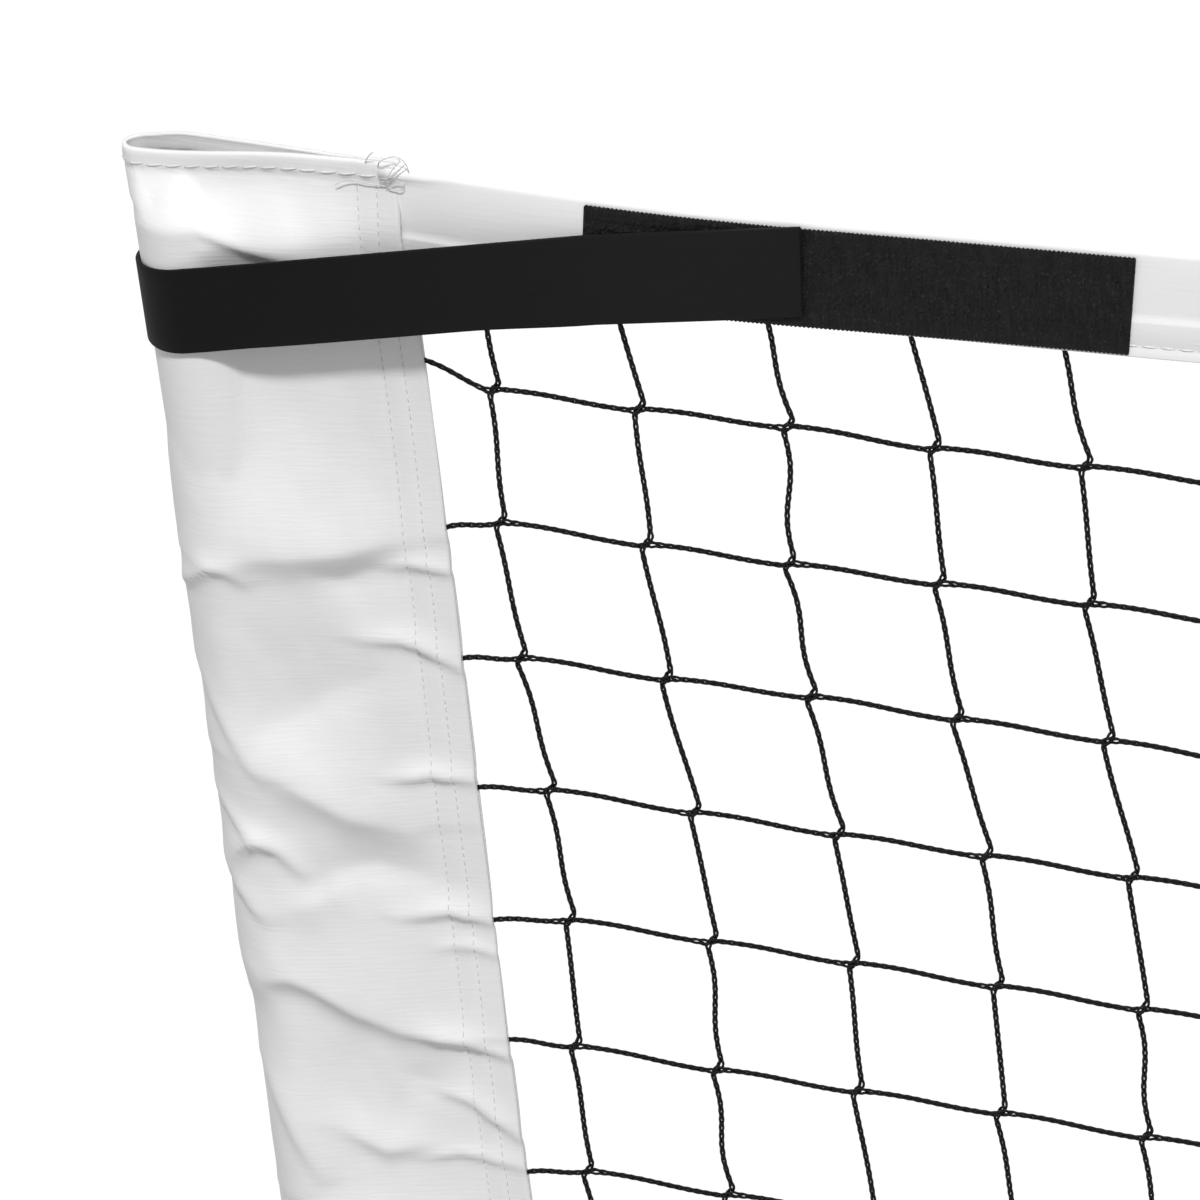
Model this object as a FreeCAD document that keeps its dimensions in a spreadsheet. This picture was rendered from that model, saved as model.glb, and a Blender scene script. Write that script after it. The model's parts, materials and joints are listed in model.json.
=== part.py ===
import FreeCAD, Part
import math
import os
import re
import Sketcher

# A portable pickleball net. X runs along the net, the front faces -Y and Z is up. The origin is
# on the floor below the middle of the net. The left half is built and the right half mirrors it.

Vector = FreeCAD.Vector
Rotation = FreeCAD.Rotation

SIZES = [
    ("net_span", 6706, "outer fold of the left sleeve to that of the right one, 22 ft"),
    ("net_top", 915, "top of the tape at the posts, 36 in"),
    ("net_bottom", 122, "lower edge of the net at the posts"),
    ("centre_drop", 51, "how much lower the net's line is at the centre, 2 in"),
    ("soft_gap", 0.3, "room between fabric and what it goes round"),
    ("cord_diameter", 2.4, "netting cord"),
    ("cord_gap", 0.2, "room each side of the netting in a fold of fabric"),
    ("gap_columns", 36, "gaps along the net, each a few meshes wide"),
    ("gap_rows", 5, "gaps up the net"),
    ("selvedge", 12, "how far the netting goes into the tape, band and sleeves"),
    ("tape_height", 43, "top tape"),
    ("tape_wall", 0.8, "one layer of the tape"),
    ("headline_diameter", 4.5, "cord in the tape's top fold"),
    ("band_height", 43, "bottom band"),
    ("sleeve_width", 106.3, "outer fold to inner edge"),
    ("sleeve_flange", 16, "sewn double edge next to the netting"),
    ("sleeve_wall", 1, "sleeve fabric"),
    ("rim_above_post", 30, "sleeve above the post's top"),
    ("mouth_thickness", 17, "sleeve's open mouth, front to back"),
    ("mouth_fold", 3.5, "radius of the mouth's outer fold"),
    ("mouth_flare", 2.8, "how far the mouth's outer corner stands out"),
    ("patch_length", 208, "loop patch"),
    ("patch_height", 36, "loop patch"),
    ("patch_thickness", 2, "loop patch"),
    ("patch_from_fold", 180, "outer fold to the patch's near end"),
    ("patch_below_roll", 1.2, "tape's roll to the patch, where the tape is highest"),
    ("strap_width", 37.5, "hook strap, measured upright"),
    ("strap_thickness", 2, "hook strap"),
    ("strap_reach", 262, "outer fold to the strap's tip"),
    ("strap_rise", 9.4, "degrees, from the post to the tape"),
    ("tube_diameter", 38.1, "uprights and rails"),
    ("tube_wall", 1.5, "uprights and rails"),
    ("foot_diameter", 44.5, "foot tubes"),
    ("foot_wall", 1.6, "foot tubes"),
    ("foot_length", 720, "foot tubes"),
    ("sole_thickness", 5, "floor to the foot tube"),
    ("sole_wall", 2.5, "side of a foot cap"),
    ("sole_length", 45, "how far a foot cap goes over the tube"),
    ("sole_end", 3, "end of a foot cap"),
    ("sole_fit", 0.1, "room in a foot cap"),
    ("sole_chamfer", 2, "chamfer round a foot cap's outer end"),
    ("socket_height", 66, "post socket above the foot tube"),
    ("socket_wall", 2, "post socket"),
    ("socket_gap", 0.2, "room round a post in its socket"),
    ("seat_gap", 0.3, "room under a post and over the centre post"),
    ("stub_length", 80, "rail stub, from the side of the foot tube"),
    ("arm_length", 45, "centre arm, from the foot tube's side to its shoulder"),
    ("spigot_length", 60, "swaged end of a rail"),
    ("spigot_gap", 0.2, "room round a swaged end"),
    ("taper_length", 6, "from the swaged end to the full tube"),
    ("cap_flange", 3, "post cap above the tube"),
    ("cap_plug", 16, "post cap inside the tube"),
    ("cap_fit", 0.1, "room round the cap's plug"),
    ("centre_post_diameter", 20, "centre post"),
    ("centre_post_wall", 1.2, "centre post"),
    ("centre_socket_height", 50, "centre socket above the foot tube"),
    ("centre_clearance", 1, "bottom band to the centre socket behind it"),
    ("pocket_wall", 1, "pocket fabric"),
    ("pocket_height", 70, "pocket on the tape's back"),
    ("pocket_half_width", 34, "pocket's middle to the end of its sewn flange"),
    ("pocket_foot", 4, "how much wider than the post the pocket is at the tape"),
    ("button_diameter", 8, "snap button"),
    ("button_fit", 0.08, "room round a button in its hole"),
    ("button_proud", 2.5, "how far a button stands out of the outer tube"),
    ("button_chamfer", 0.8, "chamfer of a button's head"),
    ("button_root", 1.5, "button inside the tube, below the bore at its sides"),
    ("button_height", 36, "button of a post above the foot tube"),
    ("spring_width", 8, "leaf spring"),
    ("spring_thickness", 0.8, "leaf spring"),
    ("spring_tail", 12, "leaf spring before the button"),
    ("spring_reach", 34, "leaf spring from the button to its bend"),
    ("spring_bend", 2.6, "leaf spring, across its bend"),
]

doc = FreeCAD.newDocument("portable_net")
sheet = doc.addObject("Spreadsheet::Sheet", "sizes")
for row, (alias, number, meaning) in enumerate(SIZES, 1):
    sheet.set(f"A{row}", meaning)
    sheet.set(f"B{row}", str(number))
    sheet.setAlias(f"B{row}", alias)
doc.recompute()

NAMES = {alias for alias, number, meaning in SIZES}
NODES = []

# Places and radii that several pieces share, from the post's axis and the floor
POST_X = "(net_span / 2 - sleeve_wall - soft_gap - tube_diameter / 2)"
POST_TOP = "(net_top - rim_above_post)"
FOOT_AXIS = "(sole_thickness + foot_diameter / 2)"
FOOT_TOP = "(sole_thickness + foot_diameter)"
BORE = "(tube_diameter / 2 - tube_wall)"
SPIGOT = f"({BORE} - spigot_gap)"
SPIGOT_BORE = f"({SPIGOT} - tube_wall)"
SOCKET_BORE = "(tube_diameter / 2 + socket_gap)"
SOCKET_OUTER = f"({SOCKET_BORE} + socket_wall)"
SHOULDER = "(foot_diameter / 2 + arm_length)"
RAIL_PITCH = f"(({POST_X} - foot_diameter / 2 - stub_length - {SHOULDER}) / 3)"
CENTRE_BORE = "(centre_post_diameter / 2 - centre_post_wall)"
CENTRE_SOCKET_BORE = "(centre_post_diameter / 2 + socket_gap)"
CENTRE_SOCKET_OUTER = f"({CENTRE_SOCKET_BORE} + socket_wall)"
LEAF = "(cord_diameter / 2 + cord_gap + tape_wall)"
SET_BACK = f"({LEAF} + centre_clearance + {CENTRE_SOCKET_OUTER})"
ROLL = "(headline_diameter / 2 + soft_gap + tape_wall)"
POCKET_TOP = f"(net_top - centre_drop - 2 * {ROLL} - soft_gap)"
CENTRE_POST_TOP = f"({POCKET_TOP} - pocket_wall - seat_gap)"
BUTTON_HOLE = "(button_diameter / 2 + button_fit)"

# Turns of a tube whose length is its own Z and whose button is on its own -Y
UPRIGHT = Rotation()
BACKWARD = Rotation(Vector(0, 0, 1), 180)
ALONG = Rotation(Vector(0, -1, 0), Vector(0, 0, -1), Vector(1, 0, 0), "XYZ")
AGAINST = Rotation(Vector(0, 1, 0), Vector(0, 0, -1), Vector(-1, 0, 0), "XYZ")
ACROSS = Rotation(Vector(1, 0, 0), -90)


def bound(text):
    """The expression with each size's name pointed at the spreadsheet."""
    return re.sub(r"[a-z_]+", lambda word: "sizes." * (word.group() in NAMES) + word.group(), text)


def value(text):
    return float(sheet.evalExpression(bound(text)))


def new_body(label):
    body = doc.addObject("PartDesign::Body", label)
    body.Label = label
    return body


def new_sketch(body, role):
    sketch = body.newObject("Sketcher::SketchObject", body.Name + "_sketch")
    origin_plane = [part for part in body.Origin.OriginFeatures if part.Role == role][0]
    sketch.AttachmentSupport = [(origin_plane, "")]
    sketch.MapMode = "FlatFace"
    return sketch


def constrain(sketch, kind, places, text):
    """Add a dimension that follows an expression."""
    index = sketch.addConstraint(Sketcher.Constraint(kind, *places, value(text)))
    sketch.setExpression(f"Constraints[{index}]", bound(text))


def draw_circle(sketch, radius, across="0", up="0"):
    spot = Vector(value(across), value(up), 0)
    index = sketch.addGeometry(Part.Circle(spot, Vector(0, 0, 1), value(radius)), False)
    constrain(sketch, "Radius", (index,), radius)
    constrain(sketch, "DistanceX", (-1, 1, index, 3), across)
    constrain(sketch, "DistanceY", (-1, 1, index, 3), up)


def draw_outline(sketch, corners):
    """Close straight lines through corners given as pairs of expressions."""
    spots = [Vector(value(across), value(up), 0) for across, up in corners]
    count = len(spots)
    for index in range(count):
        sketch.addGeometry(Part.LineSegment(spots[index], spots[(index + 1) % count]), False)
    for index in range(count):
        sketch.addConstraint(Sketcher.Constraint("Coincident", index, 2, (index + 1) % count, 1))
    for index, (across, up) in enumerate(corners):
        constrain(sketch, "DistanceX", (-1, 1, index, 1), across)
        constrain(sketch, "DistanceY", (-1, 1, index, 1), up)


def pad(body, sketch, length, side="One side"):
    feature = body.newObject("PartDesign::Pad", body.Name + "_pad")
    feature.Profile = sketch
    feature.SideType = side
    feature.setExpression("Length", bound(length))
    doc.recompute()


def pocket(body, sketch, length, side="One side", reverse=False):
    """Cut a sketch out of the body and make sure that it took something away."""
    before = body.Tip.Shape.Volume
    feature = body.newObject("PartDesign::Pocket", body.Name + "_pocket")
    feature.Profile = sketch
    feature.SideType = side
    feature.Reversed = reverse
    feature.setExpression("Length", bound(length))
    doc.recompute()
    if not body.Tip.Shape.Volume < before:
        raise RuntimeError(feature.Name + " cuts nothing")


def revolve(body, corners):
    """Turn an outline of (radius, height) corners round the body's Z."""
    sketch = new_sketch(body, "XZ_Plane")
    draw_outline(sketch, corners)
    feature = body.newObject("PartDesign::Revolution", body.Name + "_turned")
    feature.Profile = sketch
    feature.ReferenceAxis = (sketch, ["V_Axis"])
    feature.Angle = 360
    doc.recompute()


def chamfer_edges(body, size, chosen):
    """Chamfer the edges of the body that chosen(edge) accepts."""
    base = body.Tip
    names = [f"Edge{index}" for index, edge in enumerate(base.Shape.Edges, 1) if chosen(edge)]
    feature = body.newObject("PartDesign::Chamfer", body.Name + "_chamfer")
    feature.Base = (base, names)
    feature.setExpression("Size", bound(size))
    doc.recompute()


def place(piece, turn, across="0", along="0", up="0"):
    piece.Placement = FreeCAD.Placement(Vector(0, 0, 0), turn)
    for axis, text in zip("xyz", (across, along, up)):
        piece.setExpression("Placement.Base." + axis, bound(text))


def mirrored(source, label, normal=Vector(1, 0, 0)):
    twin = doc.addObject("Part::Mirroring", label)
    twin.Label = label
    twin.Source = source
    twin.Normal = normal
    return twin


def grouped(label, members):
    group = doc.addObject("Part::Compound", label)
    group.Label = label
    group.Links = members
    return group


def both_sides(piece, name):
    """Keep a left-hand piece as a node, with its mirror image on the right."""
    piece.Label = "left_" + name
    NODES.append(piece)
    NODES.append(mirrored(piece, "right_" + name))


def ring(label, outer, inner, length):
    body = new_body(label)
    sketch = new_sketch(body, "XY_Plane")
    draw_circle(sketch, outer)
    draw_circle(sketch, inner)
    pad(body, sketch, length)
    return body


def drill_button_hole(body, height, depth):
    """Drill one wall, on the tube's own -Y."""
    sketch = new_sketch(body, "XZ_Plane")
    draw_circle(sketch, BUTTON_HOLE, "0", height)
    pocket(body, sketch, depth, reverse=True)


def cope_to_foot(body, role):
    """Notch a tube's end to the round of the foot tube that it is welded to."""
    sketch = new_sketch(body, role)
    draw_circle(sketch, "foot_diameter / 2")
    pocket(body, sketch, "4 * foot_diameter", side="Symmetric")


def foot_tube(label):
    body = ring(label, "foot_diameter / 2", "foot_diameter / 2 - foot_wall", "foot_length")
    return body


def foot_cap(label):
    """Cup over the foot tube's front end, drawn down to a flat sole."""
    body = new_body(label)
    sketch = new_sketch(body, "XZ_Plane")
    radius = value("foot_diameter / 2 + sole_fit + sole_wall")
    low = -value(FOOT_AXIS)
    corners = [Vector(-radius, 0, 0), Vector(-radius, low, 0), Vector(radius, low, 0), Vector(radius, 0, 0)]
    for start, end in zip(corners, corners[1:]):
        sketch.addGeometry(Part.LineSegment(start, end), False)
    circle = Part.Circle(Vector(0, 0, 0), Vector(0, 0, 1), radius)
    sketch.addGeometry(Part.ArcOfCircle(circle, 0, math.pi), False)
    for link in ((0, 2, 1, 1), (1, 2, 2, 1), (2, 2, 3, 1), (3, 2, 0, 1), (3, 3, -1, 1)):
        sketch.addConstraint(Sketcher.Constraint("Coincident", *link))
    sketch.addConstraint(Sketcher.Constraint("Vertical", 0))
    sketch.addConstraint(Sketcher.Constraint("Vertical", 2))
    sketch.addConstraint(Sketcher.Constraint("Horizontal", 1))
    sketch.addConstraint(Sketcher.Constraint("PointOnObject", 3, 1, -1))
    constrain(sketch, "Radius", (3,), "foot_diameter / 2 + sole_fit + sole_wall")
    constrain(sketch, "DistanceY", (-1, 1, 1, 1), f"-{FOOT_AXIS}")
    pad(body, sketch, "sole_length + sole_end")
    hollow = new_sketch(body, "XZ_Plane")
    draw_circle(hollow, "foot_diameter / 2 + sole_fit")
    pocket(body, hollow, "sole_length", reverse=True)
    end = -value("sole_length + sole_end")
    chamfer_edges(body, "sole_chamfer", lambda edge: abs(edge.BoundBox.YMax - end) < 0.01)
    return body


def foot_caps(label, across):
    """Caps of both ends of one foot."""
    front = foot_cap(label + "_front")
    place(front, UPRIGHT, across, "-(foot_length / 2 - sole_length)", FOOT_AXIS)
    back = mirrored(front, label + "_back", Vector(0, 1, 0))
    return grouped(label, [front, back])


def post_socket(label, outer, bore, height):
    body = ring(label, outer, bore, f"foot_diameter / 2 + {height}")
    cope_to_foot(body, "XZ_Plane")
    drill_button_hole(body, "foot_diameter / 2 + button_height", outer)
    return body


def post(label, outer, bore, top):
    """Tube that stands on the foot inside its socket and ends below its cap's flange."""
    body = ring(label, outer, bore, f"{top} - cap_flange - {FOOT_TOP} - seat_gap")
    drill_button_hole(body, "button_height - seat_gap", outer)
    return body


def post_cap(label, outer, bore):
    """Plug in the post's bore under a flange as wide as the post."""
    body = new_body(label)
    plug = f"{bore} - cap_fit"
    revolve(body, [("0", "-cap_plug"), (plug, "-cap_plug"), (plug, "0"), (outer, "0"),
                   (outer, "cap_flange"), ("0", "cap_flange")])
    return body


def rail(label):
    """Base rail, swaged down at its start to go into the tube before it."""
    body = new_body(label)
    outer = "tube_diameter / 2"
    end = f"{RAIL_PITCH} + spigot_length"
    full = "spigot_length + taper_length"
    revolve(body, [(SPIGOT_BORE, "0"), (SPIGOT, "0"), (SPIGOT, "spigot_length"), (outer, full),
                   (outer, end), (BORE, end), (BORE, full), (SPIGOT_BORE, "spigot_length")])
    drill_button_hole(body, "spigot_length / 2", outer)
    drill_button_hole(body, f"{end} - spigot_length / 2", outer)
    return body


def centre_arm(label):
    """Short tube welded to the centre foot, swaged down to go into the last rail."""
    body = new_body(label)
    outer = "tube_diameter / 2"
    full = f"{SHOULDER} - taper_length"
    end = f"{SHOULDER} + spigot_length"
    revolve(body, [(BORE, "0"), (outer, "0"), (outer, full), (SPIGOT, SHOULDER),
                   (SPIGOT, end), (SPIGOT_BORE, end), (SPIGOT_BORE, SHOULDER), (BORE, full)])
    cope_to_foot(body, "YZ_Plane")
    drill_button_hole(body, f"{SHOULDER} + spigot_length / 2", outer)
    return body


def rail_stub(label):
    """Tube welded to the end foot's side, notched to the foot and to the socket above it."""
    body = ring(label, "tube_diameter / 2", BORE, "foot_diameter / 2 + stub_length")
    cope_to_foot(body, "YZ_Plane")
    sketch = new_sketch(body, "XZ_Plane")
    draw_circle(sketch, SOCKET_OUTER)
    pocket(body, sketch, "foot_diameter", reverse=True)
    drill_button_hole(body, "foot_diameter / 2 + stub_length - spigot_length / 2", "tube_diameter")
    return body


def button_foot(bore):
    """Lower end of a button, from the axis of its tube."""
    return f"(sqrt(({bore}) ^ 2 - (button_diameter / 2) ^ 2) - soft_gap - button_root)"


def button(label, bore, outer):
    """Button riveted to its leaf spring. Its axis is its own Z, measured from the axis of its tube."""
    body = new_body(label)
    head = f"{outer} + button_proud"
    radius = "button_diameter / 2"
    revolve(body, [("0", button_foot(bore)), (radius, button_foot(bore)), (radius, f"{head} - button_chamfer"),
                   (f"{radius} - button_chamfer", head), ("0", head)])
    return body


def leaf_spring(label, bore):
    """Bent strip inside the tube: one leg under the button, one on the wall across from it."""
    body = new_body(label)
    sketch = new_sketch(body, "YZ_Plane")
    near = f"({button_foot(bore)} - soft_gap)"
    far = f"(sqrt(({bore}) ^ 2 - (spring_width / 2) ^ 2) - soft_gap)"
    draw_outline(sketch, [(f"-{near}", "-spring_tail"), (f"-{near} + spring_thickness", "-spring_tail"),
                          ("0", "spring_reach - 2 * spring_bend"),
                          (f"{far} - spring_thickness", "-spring_tail"), (far, "-spring_tail"),
                          ("spring_bend / 2", "spring_reach"), ("-spring_bend / 2", "spring_reach")])
    pad(body, sketch, "spring_width", side="Symmetric")
    return body


def end_frame():
    """Left foot, welded up of a foot tube, a post socket and a rail stub, and its upright."""
    tube = foot_tube("left_foot_tube")
    place(tube, ACROSS, f"-{POST_X}", "-foot_length / 2", FOOT_AXIS)
    socket = post_socket("left_post_socket", SOCKET_OUTER, SOCKET_BORE, "socket_height")
    place(socket, UPRIGHT, f"-{POST_X}", "0", FOOT_AXIS)
    stub = rail_stub("left_rail_stub")
    place(stub, ALONG, f"-{POST_X}", "0", FOOT_AXIS)
    both_sides(grouped("left_foot", [tube, socket, stub]), "foot")
    both_sides(foot_caps("left_foot_caps", f"-{POST_X}"), "foot_caps")
    upright = post("left_upright", "tube_diameter / 2", BORE, POST_TOP)
    place(upright, UPRIGHT, f"-{POST_X}", "0", f"{FOOT_TOP} + seat_gap")
    both_sides(upright, "upright")
    cap = post_cap("left_upright_cap", "tube_diameter / 2", BORE)
    place(cap, UPRIGHT, f"-{POST_X}", "0", f"{POST_TOP} - cap_flange")
    both_sides(cap, "upright_cap")


def rails():
    for number, name in enumerate(("outer_rail", "middle_rail", "inner_rail")):
        piece = rail("left_" + name)
        start = f"-{POST_X} + foot_diameter / 2 + stub_length - spigot_length + {number} * {RAIL_PITCH}"
        place(piece, ALONG, start, "0", FOOT_AXIS)
        both_sides(piece, name)


def centre_frame():
    """Centre foot, welded up with its socket and two arms, and the thin post of the net's middle."""
    tube = foot_tube("centre_foot_tube")
    place(tube, ACROSS, "0", "-foot_length / 2", FOOT_AXIS)
    arm = centre_arm("centre_arm_left")
    place(arm, AGAINST, "0", "0", FOOT_AXIS)
    twin = mirrored(arm, "centre_arm_right")
    socket = post_socket("centre_post_socket", CENTRE_SOCKET_OUTER, CENTRE_SOCKET_BORE, "centre_socket_height")
    place(socket, BACKWARD, "0", SET_BACK, FOOT_AXIS)
    NODES.append(grouped("centre_foot", [tube, socket, arm, twin]))
    NODES.append(foot_caps("centre_foot_caps", "0"))
    stick = post("centre_post", "centre_post_diameter / 2", CENTRE_BORE, CENTRE_POST_TOP)
    place(stick, BACKWARD, "0", SET_BACK, f"{FOOT_TOP} + seat_gap")
    NODES.append(stick)
    cap = post_cap("centre_post_cap", "centre_post_diameter / 2", CENTRE_BORE)
    place(cap, UPRIGHT, "0", SET_BACK, f"{CENTRE_POST_TOP} - cap_flange")
    NODES.append(cap)


def buttons_and_springs():
    """A button at each joint of the frame, and the leaf springs behind them all."""
    springs = []
    height = f"{FOOT_TOP} + button_height"
    up = Rotation()
    forward = Rotation(Vector(1, 0, 0), 90)
    rearward = Rotation(Vector(1, 0, 0), -90)
    joints = [("upright_button", BORE, SOCKET_OUTER, f"-{POST_X}", height, forward, UPRIGHT)]
    names = ("outer_rail_button", "middle_rail_button", "inner_rail_button", "centre_arm_button")
    for number, name in enumerate(names):
        across = f"-{POST_X} + foot_diameter / 2 + stub_length - spigot_length / 2 + {number} * {RAIL_PITCH}"
        if name == "centre_arm_button":
            across = f"-({SHOULDER} + spigot_length / 2)"
        turn = AGAINST if name == "centre_arm_button" else ALONG
        joints.append((name, SPIGOT_BORE, "tube_diameter / 2", across, FOOT_AXIS, up, turn))
    for name, bore, outer, across, level, head_turn, tube_turn in joints:
        piece = button("left_" + name, bore, outer)
        place(piece, head_turn, across, "0", level)
        both_sides(piece, name)
        leaf = leaf_spring(name + "_spring", bore)
        place(leaf, tube_turn, across, "0", level)
        springs += [leaf, mirrored(leaf, name + "_spring_twin")]
    piece = button("centre_post_button", CENTRE_BORE, CENTRE_SOCKET_OUTER)
    place(piece, rearward, "0", SET_BACK, height)
    NODES.append(piece)
    leaf = leaf_spring("centre_post_spring", CENTRE_BORE)
    place(leaf, BACKWARD, "0", SET_BACK, height)
    springs.append(leaf)
    NODES.append(grouped("button_springs", springs))


def soft_piece(label, shape):
    piece = doc.addObject("Part::Feature", label)
    piece.Label = label
    piece.Shape = shape
    return piece


def arc(start, middle, end):
    return Part.Arc(start, middle, end).toShape()


def line(start, end):
    return Part.LineSegment(start, end).toShape()


# The net's line keeps level at the posts and the centre, on two tangent arcs to a side.
HALF_TAPE = value("net_span / 2 - sleeve_width - soft_gap")
STRAIGHTS = 10
STATIONS = [HALF_TAPE * (2 * index / STRAIGHTS - 1) for index in range(STRAIGHTS + 1)]


def arc_drop(across):
    """Height lost at this place along the net, measured from its height at the posts."""
    drop = value("centre_drop")
    reach = HALF_TAPE / 2
    radius = (reach ** 2 + (drop / 2) ** 2) / drop
    from_centre = min(abs(across), HALF_TAPE)
    if from_centre > reach:
        return radius - math.sqrt(radius ** 2 - (HALF_TAPE - from_centre) ** 2)
    return drop - radius + math.sqrt(radius ** 2 - from_centre ** 2)


def drop_at(across):
    """The same on the short straights between the stations."""
    if abs(across) >= HALF_TAPE:
        return 0.0
    index = min(int((across + HALF_TAPE) * STRAIGHTS / (2 * HALF_TAPE)), STRAIGHTS - 1)
    low, high = STATIONS[index], STATIONS[index + 1]
    share = (across - low) / (high - low)
    return arc_drop(low) * (1 - share) + arc_drop(high) * share


def along_net(section):
    """Ruled loft of a section through the stations, lowered to the net's line."""
    wires = [section(across, value("net_top") - arc_drop(across)) for across in STATIONS]
    return Part.makeLoft(wires, True, True)


def tape_section(across, top):
    """One folded sheet: two leaves with the netting's slot, and a roll round the headline."""
    slot = value("cord_diameter / 2 + cord_gap")
    leaf = value(LEAF)
    outer = value(ROLL)
    inner = outer - value("tape_wall")
    middle = top - outer
    foot = top - value("tape_height")

    def at(radius, degrees):
        turn = math.radians(degrees)
        return Vector(across, radius * math.cos(turn), middle + radius * math.sin(turn))

    def half_roll(radius, half):
        start = -math.degrees(math.acos(half / radius))
        return at(radius, start), at(radius, (start + 90) / 2), at(radius, 90)

    def flip(point):
        return Vector(point.x, -point.y, point.z)

    low, side, crown = half_roll(outer, leaf)
    inner_low, inner_side, inner_crown = half_roll(inner, slot)
    foot_out = Vector(across, leaf, foot)
    foot_in = Vector(across, slot, foot)
    edges = [line(foot_out, low), arc(low, side, crown), arc(crown, flip(side), flip(low)),
             line(flip(low), flip(foot_out)), line(flip(foot_out), flip(foot_in)),
             line(flip(foot_in), flip(inner_low)), arc(flip(inner_low), flip(inner_side), inner_crown),
             arc(inner_crown, inner_side, inner_low), line(inner_low, foot_in), line(foot_in, foot_out)]
    return Part.Wire(edges)


def headline_section(across, top):
    centre = Vector(across, 0, top - value(ROLL))
    return Part.Wire([Part.makeCircle(value("headline_diameter / 2"), centre, Vector(1, 0, 0))])


def band_section(across, top):
    """Sheet folded up round the netting's lower edge."""
    leaf = value(LEAF)
    slot = value("cord_diameter / 2 + cord_gap")
    low = top - value("net_top - net_bottom")
    high = low + value("band_height")
    floor = low + value("tape_wall")
    corners = [(-leaf, low), (leaf, low), (leaf, high), (slot, high), (slot, floor), (-slot, floor),
               (-slot, high), (-leaf, high), (-leaf, low)]
    return Part.makePolygon([Vector(across, along, up) for along, up in corners])


def netting():
    """Flat netting as one holed face, with a solid selvedge where fabric covers it."""
    half = value("net_span / 2 - sleeve_width")
    cord = value("cord_diameter")
    selvedge = value("selvedge")
    top = value("net_top - tape_height")
    bottom = value("net_bottom + band_height")
    columns = round(value("gap_columns"))
    rows = round(value("gap_rows"))
    edge = [-half - selvedge] + STATIONS + [half + selvedge]
    upper = [Vector(across, 0, top + selvedge - drop_at(across)) for across in edge]
    lower = [Vector(across, 0, bottom - selvedge - drop_at(across)) for across in reversed(edge)]
    wires = [Part.makePolygon(upper + lower + upper[:1])]
    for column in range(columns):
        left = -half + 2 * half * column / columns + cord / 2
        right = -half + 2 * half * (column + 1) / columns - cord / 2
        for row in range(rows):
            low = bottom + (top - bottom) * row / rows + cord / 2
            high = bottom + (top - bottom) * (row + 1) / rows - cord / 2
            corners = [(left, low), (right, low), (right, high), (left, high), (left, low)]
            wires.append(Part.makePolygon([Vector(x, 0, z - drop_at(x)) for x, z in corners]))
    shape = Part.makeFace(wires, "Part::FaceMakerBullseye").extrude(Vector(0, cord, 0))
    shape.translate(Vector(0, -cord / 2, 0))
    return shape


def tangent_angle(across, along, radius):
    """Angle of the point where a line from (across, along) touches a circle round the origin."""
    return math.atan2(along, across) + math.acos(radius / math.hypot(across, along))


SLEEVE_RADIUS = value("tube_diameter / 2 + soft_gap + sleeve_wall")
SLEEVE_LEAF = value("cord_diameter / 2 + cord_gap + sleeve_wall")
SLEEVE_EDGE = value("sleeve_width") - SLEEVE_RADIUS
SLEEVE_SEAM = SLEEVE_EDGE - value("sleeve_flange")


def sleeve_section(height, radius, centre, bulge):
    """Teardrop sheet round the post: an outer fold, two sides and a double edge by the netting."""
    wall = value("sleeve_wall")
    post_x = value(POST_X)

    def contour(fold, half):
        angle = tangent_angle(SLEEVE_SEAM - centre, half, fold)
        normal = (math.cos(angle), math.sin(angle))
        touch = (centre + fold * normal[0], fold * normal[1])
        middle = ((SLEEVE_SEAM + touch[0]) / 2 + bulge * normal[0], (half + touch[1]) / 2 + bulge * normal[1])
        turn = (angle + math.pi) / 2
        shoulder = (centre + fold * math.cos(turn), fold * math.sin(turn))
        return [(SLEEVE_EDGE, half), (SLEEVE_SEAM, half), middle, touch, shoulder, (centre - fold, 0)]

    def trace(points, sign):
        edge, seam, middle, touch, shoulder, tip = [Vector(x - post_x, sign * y, height) for x, y in points]
        side = arc(seam, middle, touch) if bulge else line(seam, touch)
        return [line(edge, seam), side, arc(touch, shoulder, tip)]

    outer = contour(radius, SLEEVE_LEAF)
    inner = contour(radius - wall, SLEEVE_LEAF - wall)
    edges = trace(outer, 1) + trace(outer, -1)[::-1] + trace(inner, -1) + trace(inner, 1)[::-1]
    for sign in (1, -1):
        ends = [Vector(SLEEVE_EDGE - post_x, sign * half, height) for half in (SLEEVE_LEAF, SLEEVE_LEAF - wall)]
        edges.append(line(*ends))
    return Part.Wire(Part.__sortEdges__(edges))


FOLDS = (0, -1.5, 1.2, -1.3, 0)


def sleeve():
    """Sleeve with slight folds down its sides, drawn flat above the post into an open mouth."""
    low = value("net_bottom")
    high = value(f"{POST_TOP} + soft_gap")
    sections = []
    for index, bulge in enumerate(FOLDS):
        height = low + (high - low) * index / (len(FOLDS) - 1)
        sections.append(sleeve_section(height, SLEEVE_RADIUS, 0, bulge))
    fold = value("mouth_fold")
    centre = fold - SLEEVE_RADIUS - value("mouth_flare")
    swell = value("mouth_thickness / 2") - (fold + SLEEVE_LEAF) / 2
    sections.append(sleeve_section(value("net_top"), fold, centre, swell))
    return Part.makeLoft(sections, True, True)


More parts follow.
